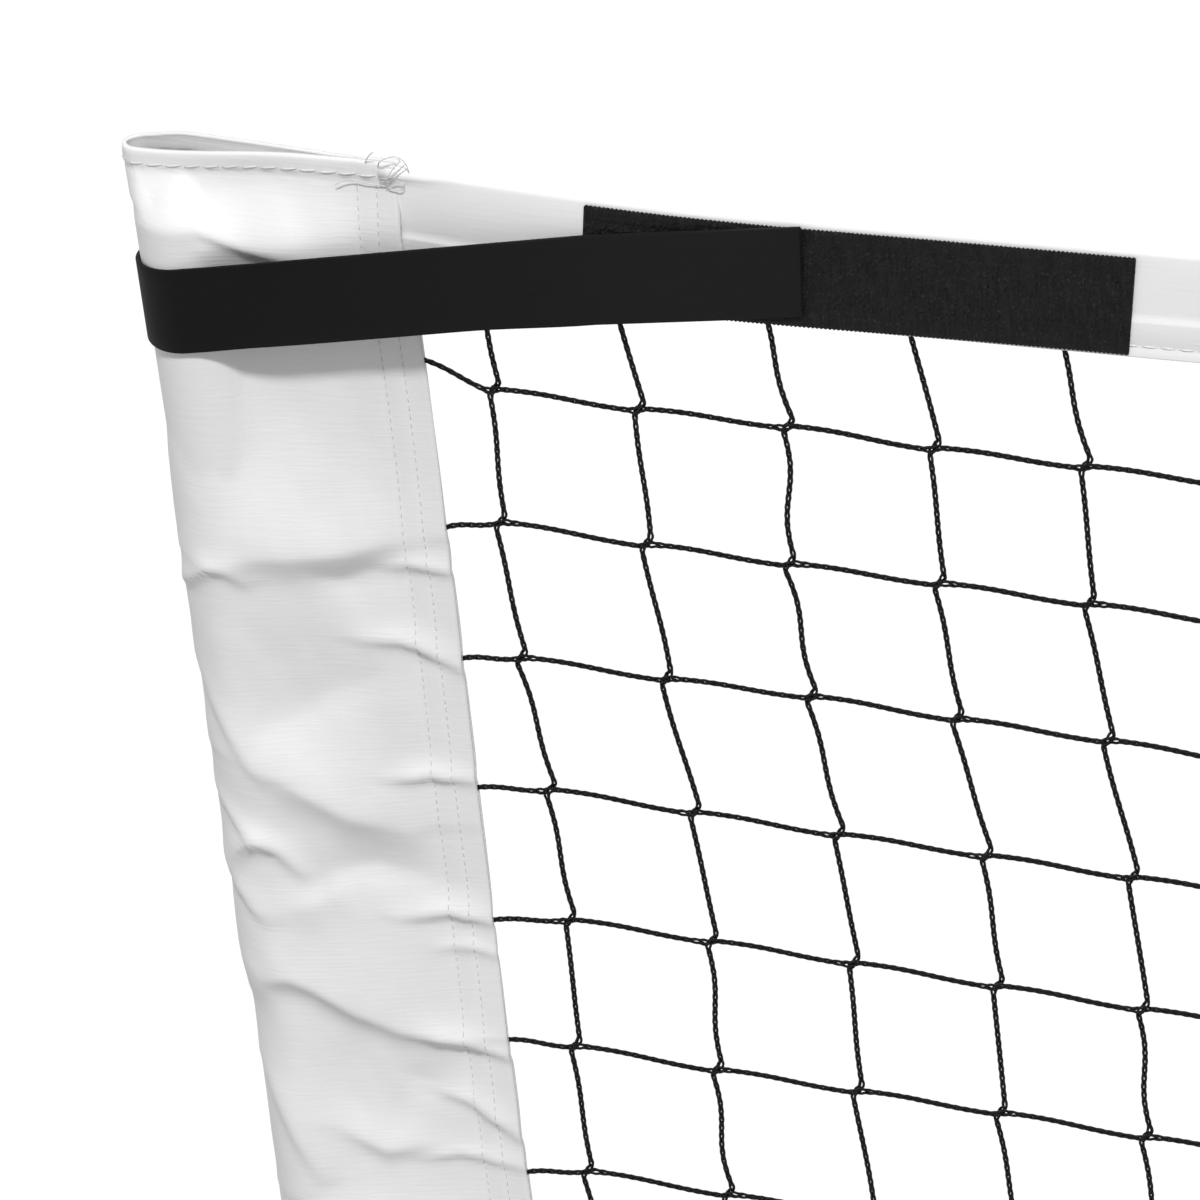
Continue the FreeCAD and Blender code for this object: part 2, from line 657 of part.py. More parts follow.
def strap_route():
    """Middle line of a strap seen from above, from its sewn end behind to its tip in front.

    Each point has its place from the post's axis, its outward normal and its distance along
    the strap. The last item is the place in the list of the point where the free end starts.
    """
    thick = value("strap_thickness")
    lift = value("soft_gap") + thick / 2
    radius = SLEEVE_RADIUS + lift
    back = tangent_angle(SLEEVE_SEAM, SLEEVE_LEAF, SLEEVE_RADIUS)
    patch = value(f"{LEAF} + patch_thickness") + lift
    patch_start = value("patch_from_fold") - SLEEVE_RADIUS
    front = tangent_angle(patch_start, patch, radius)
    corner = SLEEVE_SEAM + lift * math.cos(back) - lift * (1 - math.sin(back)) * math.tan(back)
    spots = [(SLEEVE_EDGE - 1, SLEEVE_LEAF + lift, math.pi / 2),
             (corner, SLEEVE_LEAF + lift, (back + math.pi / 2) / 2)]
    steps = math.ceil(math.degrees(2 * math.pi - front - back) / 8)
    for index in range(steps + 1):
        turn = back + (2 * math.pi - front - back) * index / steps
        spots.append((radius * math.cos(turn), radius * math.sin(turn), turn))
    free = len(spots) - 1
    spots.append((patch_start, -patch, (-front - math.pi / 2) / 2))
    spots.append((value("strap_reach") - SLEEVE_RADIUS, -patch, -math.pi / 2))
    route = []
    gone = 0.0
    for index, (across, along, turn) in enumerate(spots):
        if index:
            gone += math.hypot(across - spots[index - 1][0], along - spots[index - 1][1])
        route.append((across, along, turn, gone))
    return route, free


def strap(points, length, level, rise):
    """Strap through the points, its middle at level by the tip and rising at this slope."""
    thick = value("strap_thickness")
    half = value("strap_width") / 2
    post_x = value(POST_X)
    wires = []
    for across, along, turn, gone in points:
        height = level - rise * (length - gone)
        corners = []
        for side, up in ((-1, -half), (1, -half), (1, half), (-1, half), (-1, -half)):
            x = across + side * thick / 2 * math.cos(turn) - post_x
            y = along + side * thick / 2 * math.sin(turn)
            corners.append(Vector(x, y, height + up))
        wires.append(Part.makePolygon(corners))
    return Part.makeLoft(wires, True, True)


def straps():
    """Upper strap rising to the tape's patch, and lower strap falling to the band's patch."""
    route, free = strap_route()
    length = route[-1][3]
    slope = math.tan(math.radians(value("strap_rise")))
    upper_level = value(f"net_top - 2 * {ROLL} - patch_below_roll - patch_height / 2")
    lower_level = value("net_bottom + band_height / 2")
    for name, level, rise in (("upper", upper_level, slope), ("lower", lower_level, -slope)):
        wrap = strap(route[:free + 1], length, level, rise)
        both_sides(soft_piece(f"left_{name}_strap_wrap", wrap), f"{name}_strap_wrap")
        end = strap(route[free:], length, level, rise)
        both_sides(soft_piece(f"left_{name}_strap_end", end), f"{name}_strap_end")
    across, along, turn, gone = route[free]
    outer = value("strap_thickness / 2")
    hinge = (across + outer * math.cos(turn) - value(POST_X), along + outer * math.sin(turn))
    print("left strap hinge line", [round(number, 4) for number in hinge])


def loop_patch(label, low):
    """Loop patch sewn on the front of the tape or of the band."""
    body = new_body(label)
    sketch = new_sketch(body, "XZ_Plane")
    start = "-net_span / 2 + patch_from_fold"
    end = f"{start} + patch_length"
    high = f"{low} + patch_height"
    draw_outline(sketch, [(start, low), (end, low), (end, high), (start, high)])
    pad(body, sketch, "patch_thickness")
    place(body, UPRIGHT, "0", f"-{LEAF}", "0")
    return body


def pocket_shape():
    """Pocket on the tape's back: a flat front leaf with a bulge round the centre post."""
    near = value(LEAF)
    wall = value("pocket_wall")
    plate = near + wall
    wide = value("pocket_half_width")
    axis = value(SET_BACK)
    inner = value("centre_post_diameter / 2 + soft_gap")
    foot = inner + value("pocket_foot")
    top = value(POCKET_TOP)
    height = value("pocket_height")

    def bulge(radius, half):
        angle = tangent_angle(half, plate - axis, radius)
        touch = Vector(radius * math.cos(angle), axis + radius * math.sin(angle), 0)
        return touch, Vector(0, axis + radius, 0), Vector(-touch.x, touch.y, 0)

    right, crown, left = bulge(inner + wall, foot + wall)
    corners = [left, Vector(-foot - wall, plate, 0), Vector(-wide, plate, 0), Vector(-wide, near, 0),
               Vector(wide, near, 0), Vector(wide, plate, 0), Vector(foot + wall, plate, 0), right]
    outer = Part.Wire([arc(right, crown, left)] + [line(*pair) for pair in zip(corners, corners[1:])])
    right, crown, left = bulge(inner, foot)
    corners = [left, Vector(-foot, plate, 0), Vector(foot, plate, 0), right]
    hollow = Part.Wire([arc(right, crown, left)] + [line(*pair) for pair in zip(corners, corners[1:])])
    body = Part.Face(outer).extrude(Vector(0, 0, height))
    shape = body.cut(Part.Face(hollow).extrude(Vector(0, 0, height - wall)))
    shape.translate(Vector(0, 0, top - height))
    return shape


def net():
    """Netting with its tape, band, sleeves, patches, straps and pocket."""
    NODES.append(soft_piece("netting", netting()))
    NODES.append(soft_piece("top_tape", along_net(tape_section)))
    NODES.append(soft_piece("headline_cord", along_net(headline_section)))
    NODES.append(soft_piece("bottom_band", along_net(band_section)))
    both_sides(soft_piece("left_sleeve", sleeve()), "sleeve")
    upper = f"(net_top - 2 * {ROLL} - patch_below_roll - patch_height)"
    both_sides(loop_patch("left_upper_loop_patch", upper), "upper_loop_patch")
    lower = "(net_bottom + (band_height - patch_height) / 2)"
    both_sides(loop_patch("left_lower_loop_patch", lower), "lower_loop_patch")
    straps()
    NODES.append(soft_piece("centre_pocket", pocket_shape()))


end_frame()
rails()
centre_frame()
buttons_and_springs()
net()
doc.recompute()

for item in doc.Objects:
    if {"Invalid", "Error"} & set(item.State):
        raise RuntimeError(item.Label + " failed to build")
for piece in NODES:
    if piece.Shape.isNull() or not piece.Shape.isValid():
        raise RuntimeError(piece.Label + " has no valid shape")

os.makedirs("parts", exist_ok=True)
for piece in NODES:
    piece.Shape.exportStep(f"parts/{piece.Label}.step")
print(len(NODES), "nodes")
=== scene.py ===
import bisect
import json
import math

import bmesh
import bpy
from mathutils import Matrix, Vector, noise


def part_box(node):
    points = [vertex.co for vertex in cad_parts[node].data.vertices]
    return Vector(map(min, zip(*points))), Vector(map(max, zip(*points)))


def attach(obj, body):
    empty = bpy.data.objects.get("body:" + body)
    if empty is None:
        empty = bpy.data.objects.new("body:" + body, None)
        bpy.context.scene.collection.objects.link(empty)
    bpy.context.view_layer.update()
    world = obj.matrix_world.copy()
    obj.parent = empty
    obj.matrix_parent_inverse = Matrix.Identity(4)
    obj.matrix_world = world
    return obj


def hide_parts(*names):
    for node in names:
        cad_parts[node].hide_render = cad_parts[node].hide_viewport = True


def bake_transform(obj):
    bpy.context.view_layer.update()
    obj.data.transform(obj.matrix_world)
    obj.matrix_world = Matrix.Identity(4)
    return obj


bl_info = {
    "name": "Portable Court Net",
    "version": (1, 0, 0),
    "blender": (4, 5, 0),
    "location": "3D View > Sidebar > Court Net",
    "description": "Dresses a portable net: sleeves, tape, netting, hook straps and tube frame",
    "category": "Object",
}

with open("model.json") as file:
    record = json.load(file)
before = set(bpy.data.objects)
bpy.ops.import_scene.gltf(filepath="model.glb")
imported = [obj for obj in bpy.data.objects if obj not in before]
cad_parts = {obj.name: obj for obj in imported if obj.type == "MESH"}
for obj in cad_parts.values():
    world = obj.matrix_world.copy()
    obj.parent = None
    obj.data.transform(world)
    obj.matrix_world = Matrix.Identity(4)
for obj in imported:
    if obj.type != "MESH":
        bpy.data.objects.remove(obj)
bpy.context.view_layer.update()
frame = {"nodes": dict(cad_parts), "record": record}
NODES = frame["nodes"]
ROOT = "frame_and_net"
MM = 0.001
SIDES = (("left", -1), ("right", 1))
BACK = Vector((0, 1, 0))

# Places that come from the frame, in metres
TAPE_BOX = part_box("top_tape")
BAND_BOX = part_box("bottom_band")
SLEEVE_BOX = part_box("right_sleeve")
PATCH_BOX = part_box("right_upper_loop_patch")
LOW_PATCH_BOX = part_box("right_lower_loop_patch")
UPRIGHT_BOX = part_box("right_upright")
POST_X = (UPRIGHT_BOX[0].x + UPRIGHT_BOX[1].x) / 2
TAPE_END = TAPE_BOX[1].x
NET_TOP = TAPE_BOX[1].z
SLEEVE_LOW = SLEEVE_BOX[0].z
SLEEVE_RADIUS = SLEEVE_BOX[1].y
SLEEVE_EDGE = POST_X - SLEEVE_BOX[0].x
UPRIGHT_CAP_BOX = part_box("right_upright_cap")
TUBE_RADIUS = (UPRIGHT_BOX[1].x - UPRIGHT_BOX[0].x) / 2
POST_RADIUS = max(TUBE_RADIUS, (UPRIGHT_CAP_BOX[1].x - UPRIGHT_CAP_BOX[0].x) / 2)
POST_TOP = UPRIGHT_CAP_BOX[1].z

# Places that the frame doesn't hold; those of the upper corner are measured in the photograph
FIRST_CORD = 3222.2 * MM        # middle of the net to its outermost upright cord
TAPE_FOOT = 4.4 * MM            # middle of the net to the tape's face at its sewn edge
STRAP_TIP = 264 * MM            # outer fold to the tip of a strap
STRAP_SLOPE = math.tan(math.radians(9.6))
STRAP_HOLDS = (838 * MM, 194 * MM)      # heights at which the straps press on the sleeve
END_TUCK = 7 * MM               # how far tape and band go into the sleeves


def length(name, default, description):
    return bpy.props.FloatProperty(name=name, default=default, description=description,
                                   unit="LENGTH", precision=4)


def paint(name, default, description):
    return bpy.props.FloatVectorProperty(name=name, default=default, description=description,
                                         subtype="COLOR", size=3, min=0, max=1)


class NetSizes(bpy.types.PropertyGroup):
    """Sizes of the soft parts."""
    mesh: length("Mesh", 57.03 * MM, "Distance between netting cords")
    cord: length("Netting cord", 2.4 * MM, "Width of the braided netting cord")
    first_row: length("First row", 825 * MM, "Height of the netting's first row at the posts")
    drop: length("Centre drop", 51 * MM, "How much lower the net hangs at its centre")
    tape_height: length("Tape height", 43 * MM, "Height of the top tape")
    tape_roll: length("Tape roll", 3.35 * MM, "Radius of the tape's rolled top")
    tape_leaf: length("Tape leaf", 2.2 * MM, "Middle of the net to the tape's face")
    sheet: length("Tape sheet", 0.8 * MM, "Thickness of the tape's sheet")
    sleeve_sheet: length("Sleeve sheet", 1 * MM, "Thickness of the sleeve's sheet")
    sleeve_leaf: length("Sleeve leaf", 2.4 * MM, "Middle of the net to the sleeve's sewn edge")
    flange: length("Sewn edge", 16 * MM, "Width of the sleeve's sewn double edge")
    hem: length("Hem", 7.6 * MM, "Hem at the sleeve's mouth")
    strap_width: length("Strap width", 36.2 * MM, "Hook strap, upright")
    strap_thickness: length("Strap thickness", 1.6 * MM, "Hook strap")
    stitch: length("Stitch", 3.6 * MM, "Stitch length of the seams")
    hem_stitch: length("Hem stitch", 7.6 * MM, "Stitch length of the mouth's hem")
    socket_wall: length("Socket wall", 2.2 * MM, "A post's side to the outside of its socket")
    weld: length("Weld bead", 1.7 * MM, "Radius of a weld bead")
    leaf_width: length("Leaf width", 8 * MM, "Folded leaf spring")
    leaf_thickness: length("Leaf thickness", 0.8 * MM, "Folded leaf spring")


class NetColours(bpy.types.PropertyGroup):
    """Colours of the finishes."""
    vinyl: paint("Vinyl", (0.85, 0.85, 0.85), "White vinyl coated fabric")
    # The tape's white is set above the sleeve's vinyl as painted light, standing for more light on the
    # tape's face
    tape: paint("Tape", (0.97, 0.97, 0.97), "Vinyl of the top tape")
    thread: paint("Thread", (0.66, 0.66, 0.65), "Sewing thread")
    hook: paint("Hook tape", (0.0087, 0.0087, 0.009), "Back of the hook tape")
    pile: paint("Loop pile", (0.0048, 0.0048, 0.0050), "Brushed loop pile")
    braid: paint("Netting", (0.0105, 0.0105, 0.0110), "Braided netting cord")
    webbing: paint("Webbing", (0.016, 0.016, 0.017), "Bottom band")
    powder: paint("Powder coat", (0.0105, 0.0105, 0.0110), "Frame tubes")
    plastic: paint("Plastic", (0.0120, 0.0120, 0.0125), "Caps and soles")
    plated: paint("Plated steel", (0.62, 0.62, 0.64), "Snap buttons")
    spring: paint("Spring steel", (0.33, 0.32, 0.31), "Leaf springs")
    cord: paint("Headline", (0.74, 0.73, 0.70), "Headline cord")


# Materials

def new_material(name, colour, roughness, metallic=0.0):
    material = bpy.data.materials.new(name)
    material.use_nodes = True
    shader = material.node_tree.nodes["Principled BSDF"]
    shader.inputs["Base Color"].default_value = (*colour, 1)
    shader.inputs["Roughness"].default_value = roughness
    shader.inputs["Metallic"].default_value = metallic
    return material, material.node_tree, shader


def new_group(name, values, outputs=("Colour", "Height")):
    """Node group; each input takes its kind from its default: a colour, a vector or a number."""
    group = bpy.data.node_groups.new(name, "ShaderNodeTree")
    kinds = {4: "NodeSocketColor", 3: "NodeSocketVector"}
    for label, value in values.items():
        kind = kinds[len(value)] if isinstance(value, tuple) else "NodeSocketFloat"
        group.interface.new_socket(label, in_out="INPUT", socket_type=kind).default_value = value
    for label in outputs:
        kind = "NodeSocketColor" if label == "Colour" else "NodeSocketFloat"
        group.interface.new_socket(label, in_out="OUTPUT", socket_type=kind)
    return group, group.nodes.new("NodeGroupInput").outputs, group.nodes.new("NodeGroupOutput").inputs


def feed(tree, item, socket):
    """Link a socket into another, or set its value."""
    if isinstance(item, bpy.types.NodeSocket):
        tree.links.new(item, socket)
    else:
        socket.default_value = item


def blend_colours(tree, factor, first, second):
    mix = tree.nodes.new("ShaderNodeMix")
    mix.data_type = "RGBA"
    for place, item in ((0, factor), (6, first), (7, second)):
        feed(tree, item, mix.inputs[place])
    return mix.outputs[2]


def maths(tree, operation, first, second=0.0, third=0.0):
    node = tree.nodes.new("ShaderNodeMath")
    node.operation = operation
    for place, item in enumerate((first, second, third)):
        feed(tree, item, node.inputs[place])
    return node.outputs[0]


def scaled(tree, vector, factor):
    """A colour times one number."""
    node = tree.nodes.new("ShaderNodeVectorMath")
    node.operation = "SCALE"
    tree.links.new(vector, node.inputs[0])
    tree.links.new(factor, node.inputs["Scale"])
    return node.outputs[0]


def object_place(tree):
    return tree.nodes.new("ShaderNodeTexCoord").outputs["Object"]


def uv_parts(tree):
    """The two numbers of a piece's UV map, as named sockets."""
    parts = tree.nodes.new("ShaderNodeSeparateXYZ")
    tree.links.new(tree.nodes.new("ShaderNodeTexCoord").outputs["UV"], parts.inputs[0])
    return parts.outputs


def grain(tree, place, scale, detail=2.0):
    texture = tree.nodes.new("ShaderNodeTexNoise")
    texture.inputs["Detail"].default_value = detail
    feed(tree, scale, texture.inputs["Scale"])
    tree.links.new(place, texture.inputs["Vector"])
    return texture.outputs["Fac"]


def grain_group():
    """Stretched noise: fine threads or ribs in one direction, with a slower colour drift."""
    group, entry, leave = new_group("thread_grain", {
        "Colour": (0.8, 0.8, 0.8, 1), "Stretch": (60, 60, 900), "Contrast": 0.04, "Drift": 0.03})
    place = object_place(group)
    stretched = group.nodes.new("ShaderNodeVectorMath")
    stretched.operation = "MULTIPLY"
    group.links.new(place, stretched.inputs[0])
    group.links.new(entry["Stretch"], stretched.inputs[1])
    fine = grain(group, stretched.outputs[0], 1)
    shade = maths(group, "MULTIPLY_ADD", fine, entry["Contrast"], 1.0)
    drift = maths(group, "MULTIPLY", grain(group, place, 9), entry["Drift"])
    level = maths(group, "SUBTRACT", shade, drift)
    group.links.new(scaled(group, entry["Colour"], level), leave["Colour"])
    group.links.new(fine, leave["Height"])
    return group


def speckle_group():
    """Even fine grain, as on powder coat, moulded plastic and thread."""
    group, entry, leave = new_group("speckle", {
        "Colour": (0.02, 0.02, 0.02, 1), "Scale": 900.0, "Contrast": 0.3})
    fine = grain(group, object_place(group), entry["Scale"], 3)
    around = maths(group, "SUBTRACT", fine, 0.5)
    level = maths(group, "MULTIPLY_ADD", around, entry["Contrast"], 1.0)
    level = maths(group, "MAXIMUM", level, 0.1)
    group.links.new(scaled(group, entry["Colour"], level), leave["Colour"])
    group.links.new(fine, leave["Height"])
    return group


def pile_group():
    """Brushed loops: upright ribs, painted shade in the hollows between them and a few loops with a painted
    glint.
    """
    group, entry, leave = new_group("loops", {
        "Colour": (0.02, 0.02, 0.02, 1), "Ribs": 650.0, "Loops": 950.0, "Hollow shade": 170.0})
    place = object_place(group)
    upright = group.nodes.new("ShaderNodeMapping")
    upright.inputs["Scale"].default_value = (1, 1, 0.14)
    group.links.new(place, upright.inputs["Vector"])
    ribs = grain(group, upright.outputs[0], entry["Ribs"], 1.5)
    loops = grain(group, place, entry["Loops"], 1.5)
    # Painted shade: darker patches that stand for the shade in the pile's hollows
    hollow_shade = grain(group, place, entry["Hollow shade"], 1.5)
    level = maths(group, "MULTIPLY_ADD", hollow_shade, 1.8, maths(group, "MULTIPLY_ADD", ribs, 3.4, -1.75))
    level = maths(group, "MAXIMUM", level, 0.2)
    # Painted glints: sparse bright spots that stand for light caught on single loops
    painted_glints = maths(group, "MAXIMUM", maths(group, "MULTIPLY_ADD", loops, 26.0, -15.6), 0.0)
    level = maths(group, "ADD", level, painted_glints)
    group.links.new(scaled(group, entry["Colour"], level), leave["Colour"])
    group.links.new(loops, leave["Height"])
    return group


def wear_group():
    """Colour worn lighter where the surface is convex, broken up by noise."""
    group, entry, leave = new_group("edge_wear", {
        "Colour": (0.02, 0.02, 0.02, 1), "Worn": (0.1, 0.1, 0.1, 1), "Amount": 0.5}, ("Colour",))
    shape = group.nodes.new("ShaderNodeNewGeometry")
    kept = group.nodes.new("ShaderNodeClamp")
    group.links.new(maths(group, "MULTIPLY_ADD", shape.outputs["Pointiness"], 8.0, -4.2), kept.inputs[0])
    mask = maths(group, "MULTIPLY", kept.outputs[0], grain(group, object_place(group), 60))
    mask = maths(group, "MULTIPLY", mask, entry["Amount"])
    group.links.new(blend_colours(group, mask, entry["Colour"], entry["Worn"]), leave["Colour"])
    return group


def use_group(tree, group, values):
    node = tree.nodes.new("ShaderNodeGroup")
    node.node_tree = group
    for label, value in values.items():
        node.inputs[label].default_value = value
    return node


def bump(tree, shader, height, distance):
    node = tree.nodes.new("ShaderNodeBump")
    node.inputs["Distance"].default_value = distance
    node.inputs["Strength"].default_value = 1.0
    tree.links.new(height, node.inputs["Height"])
    tree.links.new(node.outputs["Normal"], shader.inputs["Normal"])


def grained(name, group, colour, roughness, values, distance, metallic=0.0, sheen=0.0, gloss=0.5):
    """Material whose colour and bump come from one of the shared groups."""
    material, tree, shader = new_material(name, colour, roughness, metallic)
    shader.inputs["Sheen Weight"].default_value = sheen
    shader.inputs["Specular IOR Level"].default_value = gloss
    node = use_group(tree, group, {"Colour": (*colour, 1), **values})
    tree.links.new(node.outputs["Colour"], shader.inputs["Base Color"])
    bump(tree, shader, node.outputs["Height"], distance)
    return material


def twisted(name, colour, roughness, turns, shade_depth):
    """Cord finish: plies that wind along the cord's own UV map, with painted shade in the grooves between
    them.
    """
    material, tree, shader = new_material(name, colour, roughness)
    shader.inputs["Specular IOR Level"].default_value = 0.15
    parts = uv_parts(tree)
    along = maths(tree, "MULTIPLY", parts["X"], turns)
    phase = maths(tree, "ADD", along, maths(tree, "MULTIPLY", parts["Y"], 2.0))
    wave = maths(tree, "SINE", maths(tree, "MULTIPLY", phase, 2 * math.pi))
    ply_ridge_and_shade = maths(tree, "MULTIPLY_ADD", wave, 0.5, 0.5)
    # Painted shade: the colour darkens between the plies, where the grooves lie in shade
    painted_shade = [part * (1 - shade_depth) for part in colour]
    tree.links.new(blend_colours(tree, ply_ridge_and_shade, (*painted_shade, 1), (*colour, 1)), shader.inputs["Base Color"])
    bump(tree, shader, ply_ridge_and_shade, 0.5 * MM)
    return material


def paint_shade_along(material, start, end, painted_shade):
    """Painted shade: darker colour at the start of a strip's own length, which its UV map gives in metres.
    """
    tree = material.node_tree
    tint = tree.nodes["Principled BSDF"].inputs["Base Color"]
    run = tree.nodes.new("ShaderNodeMapRange")
    for label, value in (("From Min", start), ("From Max", end), ("To Min", painted_shade), ("To Max", 1.0)):
        run.inputs[label].default_value = value
    tree.links.new(uv_parts(tree)["X"], run.inputs["Value"])
    tree.links.new(scaled(tree, tint.links[0].from_socket, run.outputs["Result"]), tint)


def make_materials(colours):
    thread_grain, speckle, wear = grain_group(), speckle_group(), wear_group()
    finish = {
        "vinyl": grained("white_vinyl", thread_grain, colours.vinyl, 0.5,
                         {"Stretch": (70, 70, 1050), "Contrast": 0.035, "Drift": 0.03}, 0.1 * MM),
        "tape": grained("tape_vinyl", thread_grain, colours.tape, 0.45,
                        {"Stretch": (70, 70, 1050), "Contrast": 0.02, "Drift": 0.02}, 0.06 * MM),
        "thread": grained("sewing_thread", speckle, colours.thread, 0.6,
                          {"Scale": 2500.0, "Contrast": 0.2}, 0.05 * MM),
        "hook": grained("hook_tape", thread_grain, colours.hook, 0.72,
                        {"Stretch": (160, 160, 2600), "Contrast": 0.5, "Drift": 0.4}, 0.05 * MM,
                        sheen=0.02, gloss=0.1),
        "pile": grained("loop_pile", pile_group(), colours.pile, 0.75, {}, 0.8 * MM, sheen=0.01, gloss=0.2),
        "webbing": grained("black_webbing", thread_grain, colours.webbing, 0.75,
                           {"Stretch": (700, 700, 1400), "Contrast": 0.6, "Drift": 0.2}, 0.12 * MM),
        "braid": twisted("black_netting", colours.braid, 0.45, 333.0, 0.6),
        "cord": twisted("headline_braid", colours.cord, 0.7, 160.0, 0.4),
        "plated": grained("button_steel", thread_grain, colours.plated, 0.3,
                          {"Stretch": (900, 900, 60), "Contrast": 0.1, "Drift": 0.1}, 0.01 * MM,
                          metallic=1.0),
        "spring": grained("spring_steel", thread_grain, colours.spring, 0.35,
                          {"Stretch": (900, 60, 900), "Contrast": 0.2, "Drift": 0.2}, 0.01 * MM,
                          metallic=1.0),
    }
    for name, label, colour, scale, depth in (
            ("powder", "powder_coat", colours.powder, 1500.0, 0.07 * MM),
            ("plastic", "moulded_plastic", colours.plastic, 700.0, 0.05 * MM)):
        material = grained(label, speckle, colour, 0.42, {"Scale": scale, "Contrast": 0.25}, depth,
                           gloss=0.25)
        tree = material.node_tree
        worn = use_group(tree, wear, {"Worn": (0.06, 0.06, 0.06, 1), "Amount": 0.5})
        tint = tree.nodes["Principled BSDF"].inputs["Base Color"]
        tree.links.new(tint.links[0].from_socket, worn.inputs["Colour"])
        tree.links.new(worn.outputs["Colour"], tint)
        finish[name] = material
    # Painted shade on the hook strap: darker where it wraps round the post, turned away from the light
    wrap_start, wrap_end, wrap_painted_shade = 160 * MM, 340 * MM, 0.4
    paint_shade_along(finish["hook"], wrap_start, wrap_end, wrap_painted_shade)
    return finish


FINISH = {}                     # materials by their short names


def finish(name):
    """Material by its short name; all are made at the first call."""
    if not FINISH:
        FINISH.update(make_materials(bpy.context.scene.net_colours))
    return FINISH[name]


# Meshes

def beside(items, index):
    """The items before and after one, or itself at an end."""
    return items[max(index - 1, 0)], items[min(index + 1, len(items) - 1)]


def lengths(path):
    """Distance along a path at each of its points."""
    gone = [0.0]
    for before, after in zip(path, path[1:]):
        gone.append(gone[-1] + (after - before).length)
    return gone


class Skin:
    """Vertices, faces and UVs of one piece while its strips and tubes are added."""

    def __init__(self):
        self.points, self.faces, self.places = [], [], []

    def strip(self, rows, around, along, across):
        """Faces between rows of points, closed round each row or open; UVs run in metres."""
        first, count = len(self.points), len(rows[0])
        for row in rows:
            self.points.extend(row)
        for index in range(len(rows) - 1):
            for step in range(count if around else count - 1):
                after = (step + 1) % count
                a, b = first + index * count, first + (index + 1) * count
                self.faces.append((a + step, a + after, b + after, b + step))
                u0, u1 = along[index], along[index + 1]
                v0, v1 = across[step], across[step + 1]
                self.places.append(((u0, v0), (u0, v1), (u1, v1), (u1, v0)))
        return first, count

    def wall(self, outer, inner, along, across):
        """Closed sheet between an outer and an inner grid of points."""
        first, count = self.strip(outer, False, along, across)
        under, _ = self.strip(inner, False, along, across)
        split = len(self.faces)
        last = (len(outer) - 1) * count
        for step in range(count - 1):
            self.faces.append((first + step, under + step, under + step + 1, first + step + 1))
            self.faces.append((first + last + step, first + last + step + 1, under + last + step + 1,
                               under + last + step))
        for index in range(len(outer) - 1):
            low, high = index * count, (index + 1) * count
            self.faces.append((first + low, first + high, under + high, under + low))
            low, high = low + count - 1, high + count - 1
            self.faces.append((first + low, under + low, under + high, first + high))
        self.places.extend([((0, 0),) * 4] * (len(self.faces) - split))

    def rod(self, rings, along, across):
        """Rings of points joined and capped at both ends."""
        first, count = self.strip(rings, True, along, across)
        last = first + count * (len(rings) - 1)
        self.faces.append(tuple(reversed(range(first, first + count))))
        self.faces.append(tuple(range(last, last + count)))
        self.places.extend([((0, 0),) * count] * 2)

    def tube(self, path, radius, sides):
        """Round tube along a path, of one radius or one for each point; UV is metres along and turns."""
        turns = [2 * math.pi * step / sides for step in range(sides)]
        rings, side = [], None
        for index, point in enumerate(path):
            before, after = beside(path, index)
            forward = (after - before).normalized()
            if side is None:
                side = forward.orthogonal().normalized()
            side = (side - forward * side.dot(forward)).normalized()
            other = forward.cross(side)
            width = radius[index] if isinstance(radius, list) else radius
            rings.append([point + (side * math.cos(turn) + other * math.sin(turn)) * width
                          for turn in turns])
        self.rod(rings, lengths(path), [step / sides for step in range(sides + 1)])

    def piece(self, name, material, smooth=True):
        mesh = bpy.data.meshes.new(name)
        mesh.from_pydata(self.points, [], self.faces)
        flat = [number for face in self.places for place in face for number in place]
        mesh.uv_layers.new(name="UVMap").data.foreach_set("uv", flat)
        mesh.materials.append(finish(material))
        if smooth:
            mesh.shade_smooth()
        return placed(mesh)


def placed(mesh):
    """Object of a finished mesh, linked to the scene."""
    obj = bpy.data.objects.new(mesh.name, mesh)
    bpy.context.scene.collection.objects.link(obj)
    return obj


def only(obj):
    """Make one object the selected and active one."""
    bpy.ops.object.select_all(action="DESELECT")
    obj.select_set(True)
    bpy.context.view_layer.objects.active = obj


def face_outwards(obj):
    only(obj)
    bpy.ops.object.mode_set(mode="EDIT")
    bpy.ops.mesh.select_all(action="SELECT")
    bpy.ops.mesh.normals_make_consistent(inside=False)
    bpy.ops.object.mode_set(mode="OBJECT")


def thicken(obj, thickness, offset):
    """Wall on one side of an open sheet, applied."""
    only(obj)
    solid = obj.modifiers.new("sheet", "SOLIDIFY")
    solid.thickness = thickness
    solid.offset = offset
    solid.use_even_offset = False
    bpy.ops.object.modifier_apply(modifier=solid.name)


def soften_edges(obj, width, segments):
    """Bevel on the sharp edges, applied."""
    only(obj)
    edge = obj.modifiers.new("edges", "BEVEL")
    edge.width = width
    edge.segments = segments
    edge.limit_method = "ANGLE"
    edge.angle_limit = math.radians(50)
    bpy.ops.object.modifier_apply(modifier=edge.name)
    bpy.ops.object.shade_smooth_by_angle(angle=math.radians(50))


def rest(obj, *nodes, slot):
    """Ride a finished piece on the net's still body in place of CAD nodes."""
    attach(obj, ROOT)
    if nodes:
        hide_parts(*nodes)


# The net's line

def drop_at(across, drop):
    """Height lost along the net on two tangent arcs to a side."""
    reach = TAPE_END / 2
    radius = (reach ** 2 + (drop / 2) ** 2) / drop
    from_centre = min(abs(across), TAPE_END)
    if from_centre > reach:
        return radius - math.sqrt(radius ** 2 - (TAPE_END - from_centre) ** 2)
    return drop - radius + math.sqrt(radius ** 2 - from_centre ** 2)


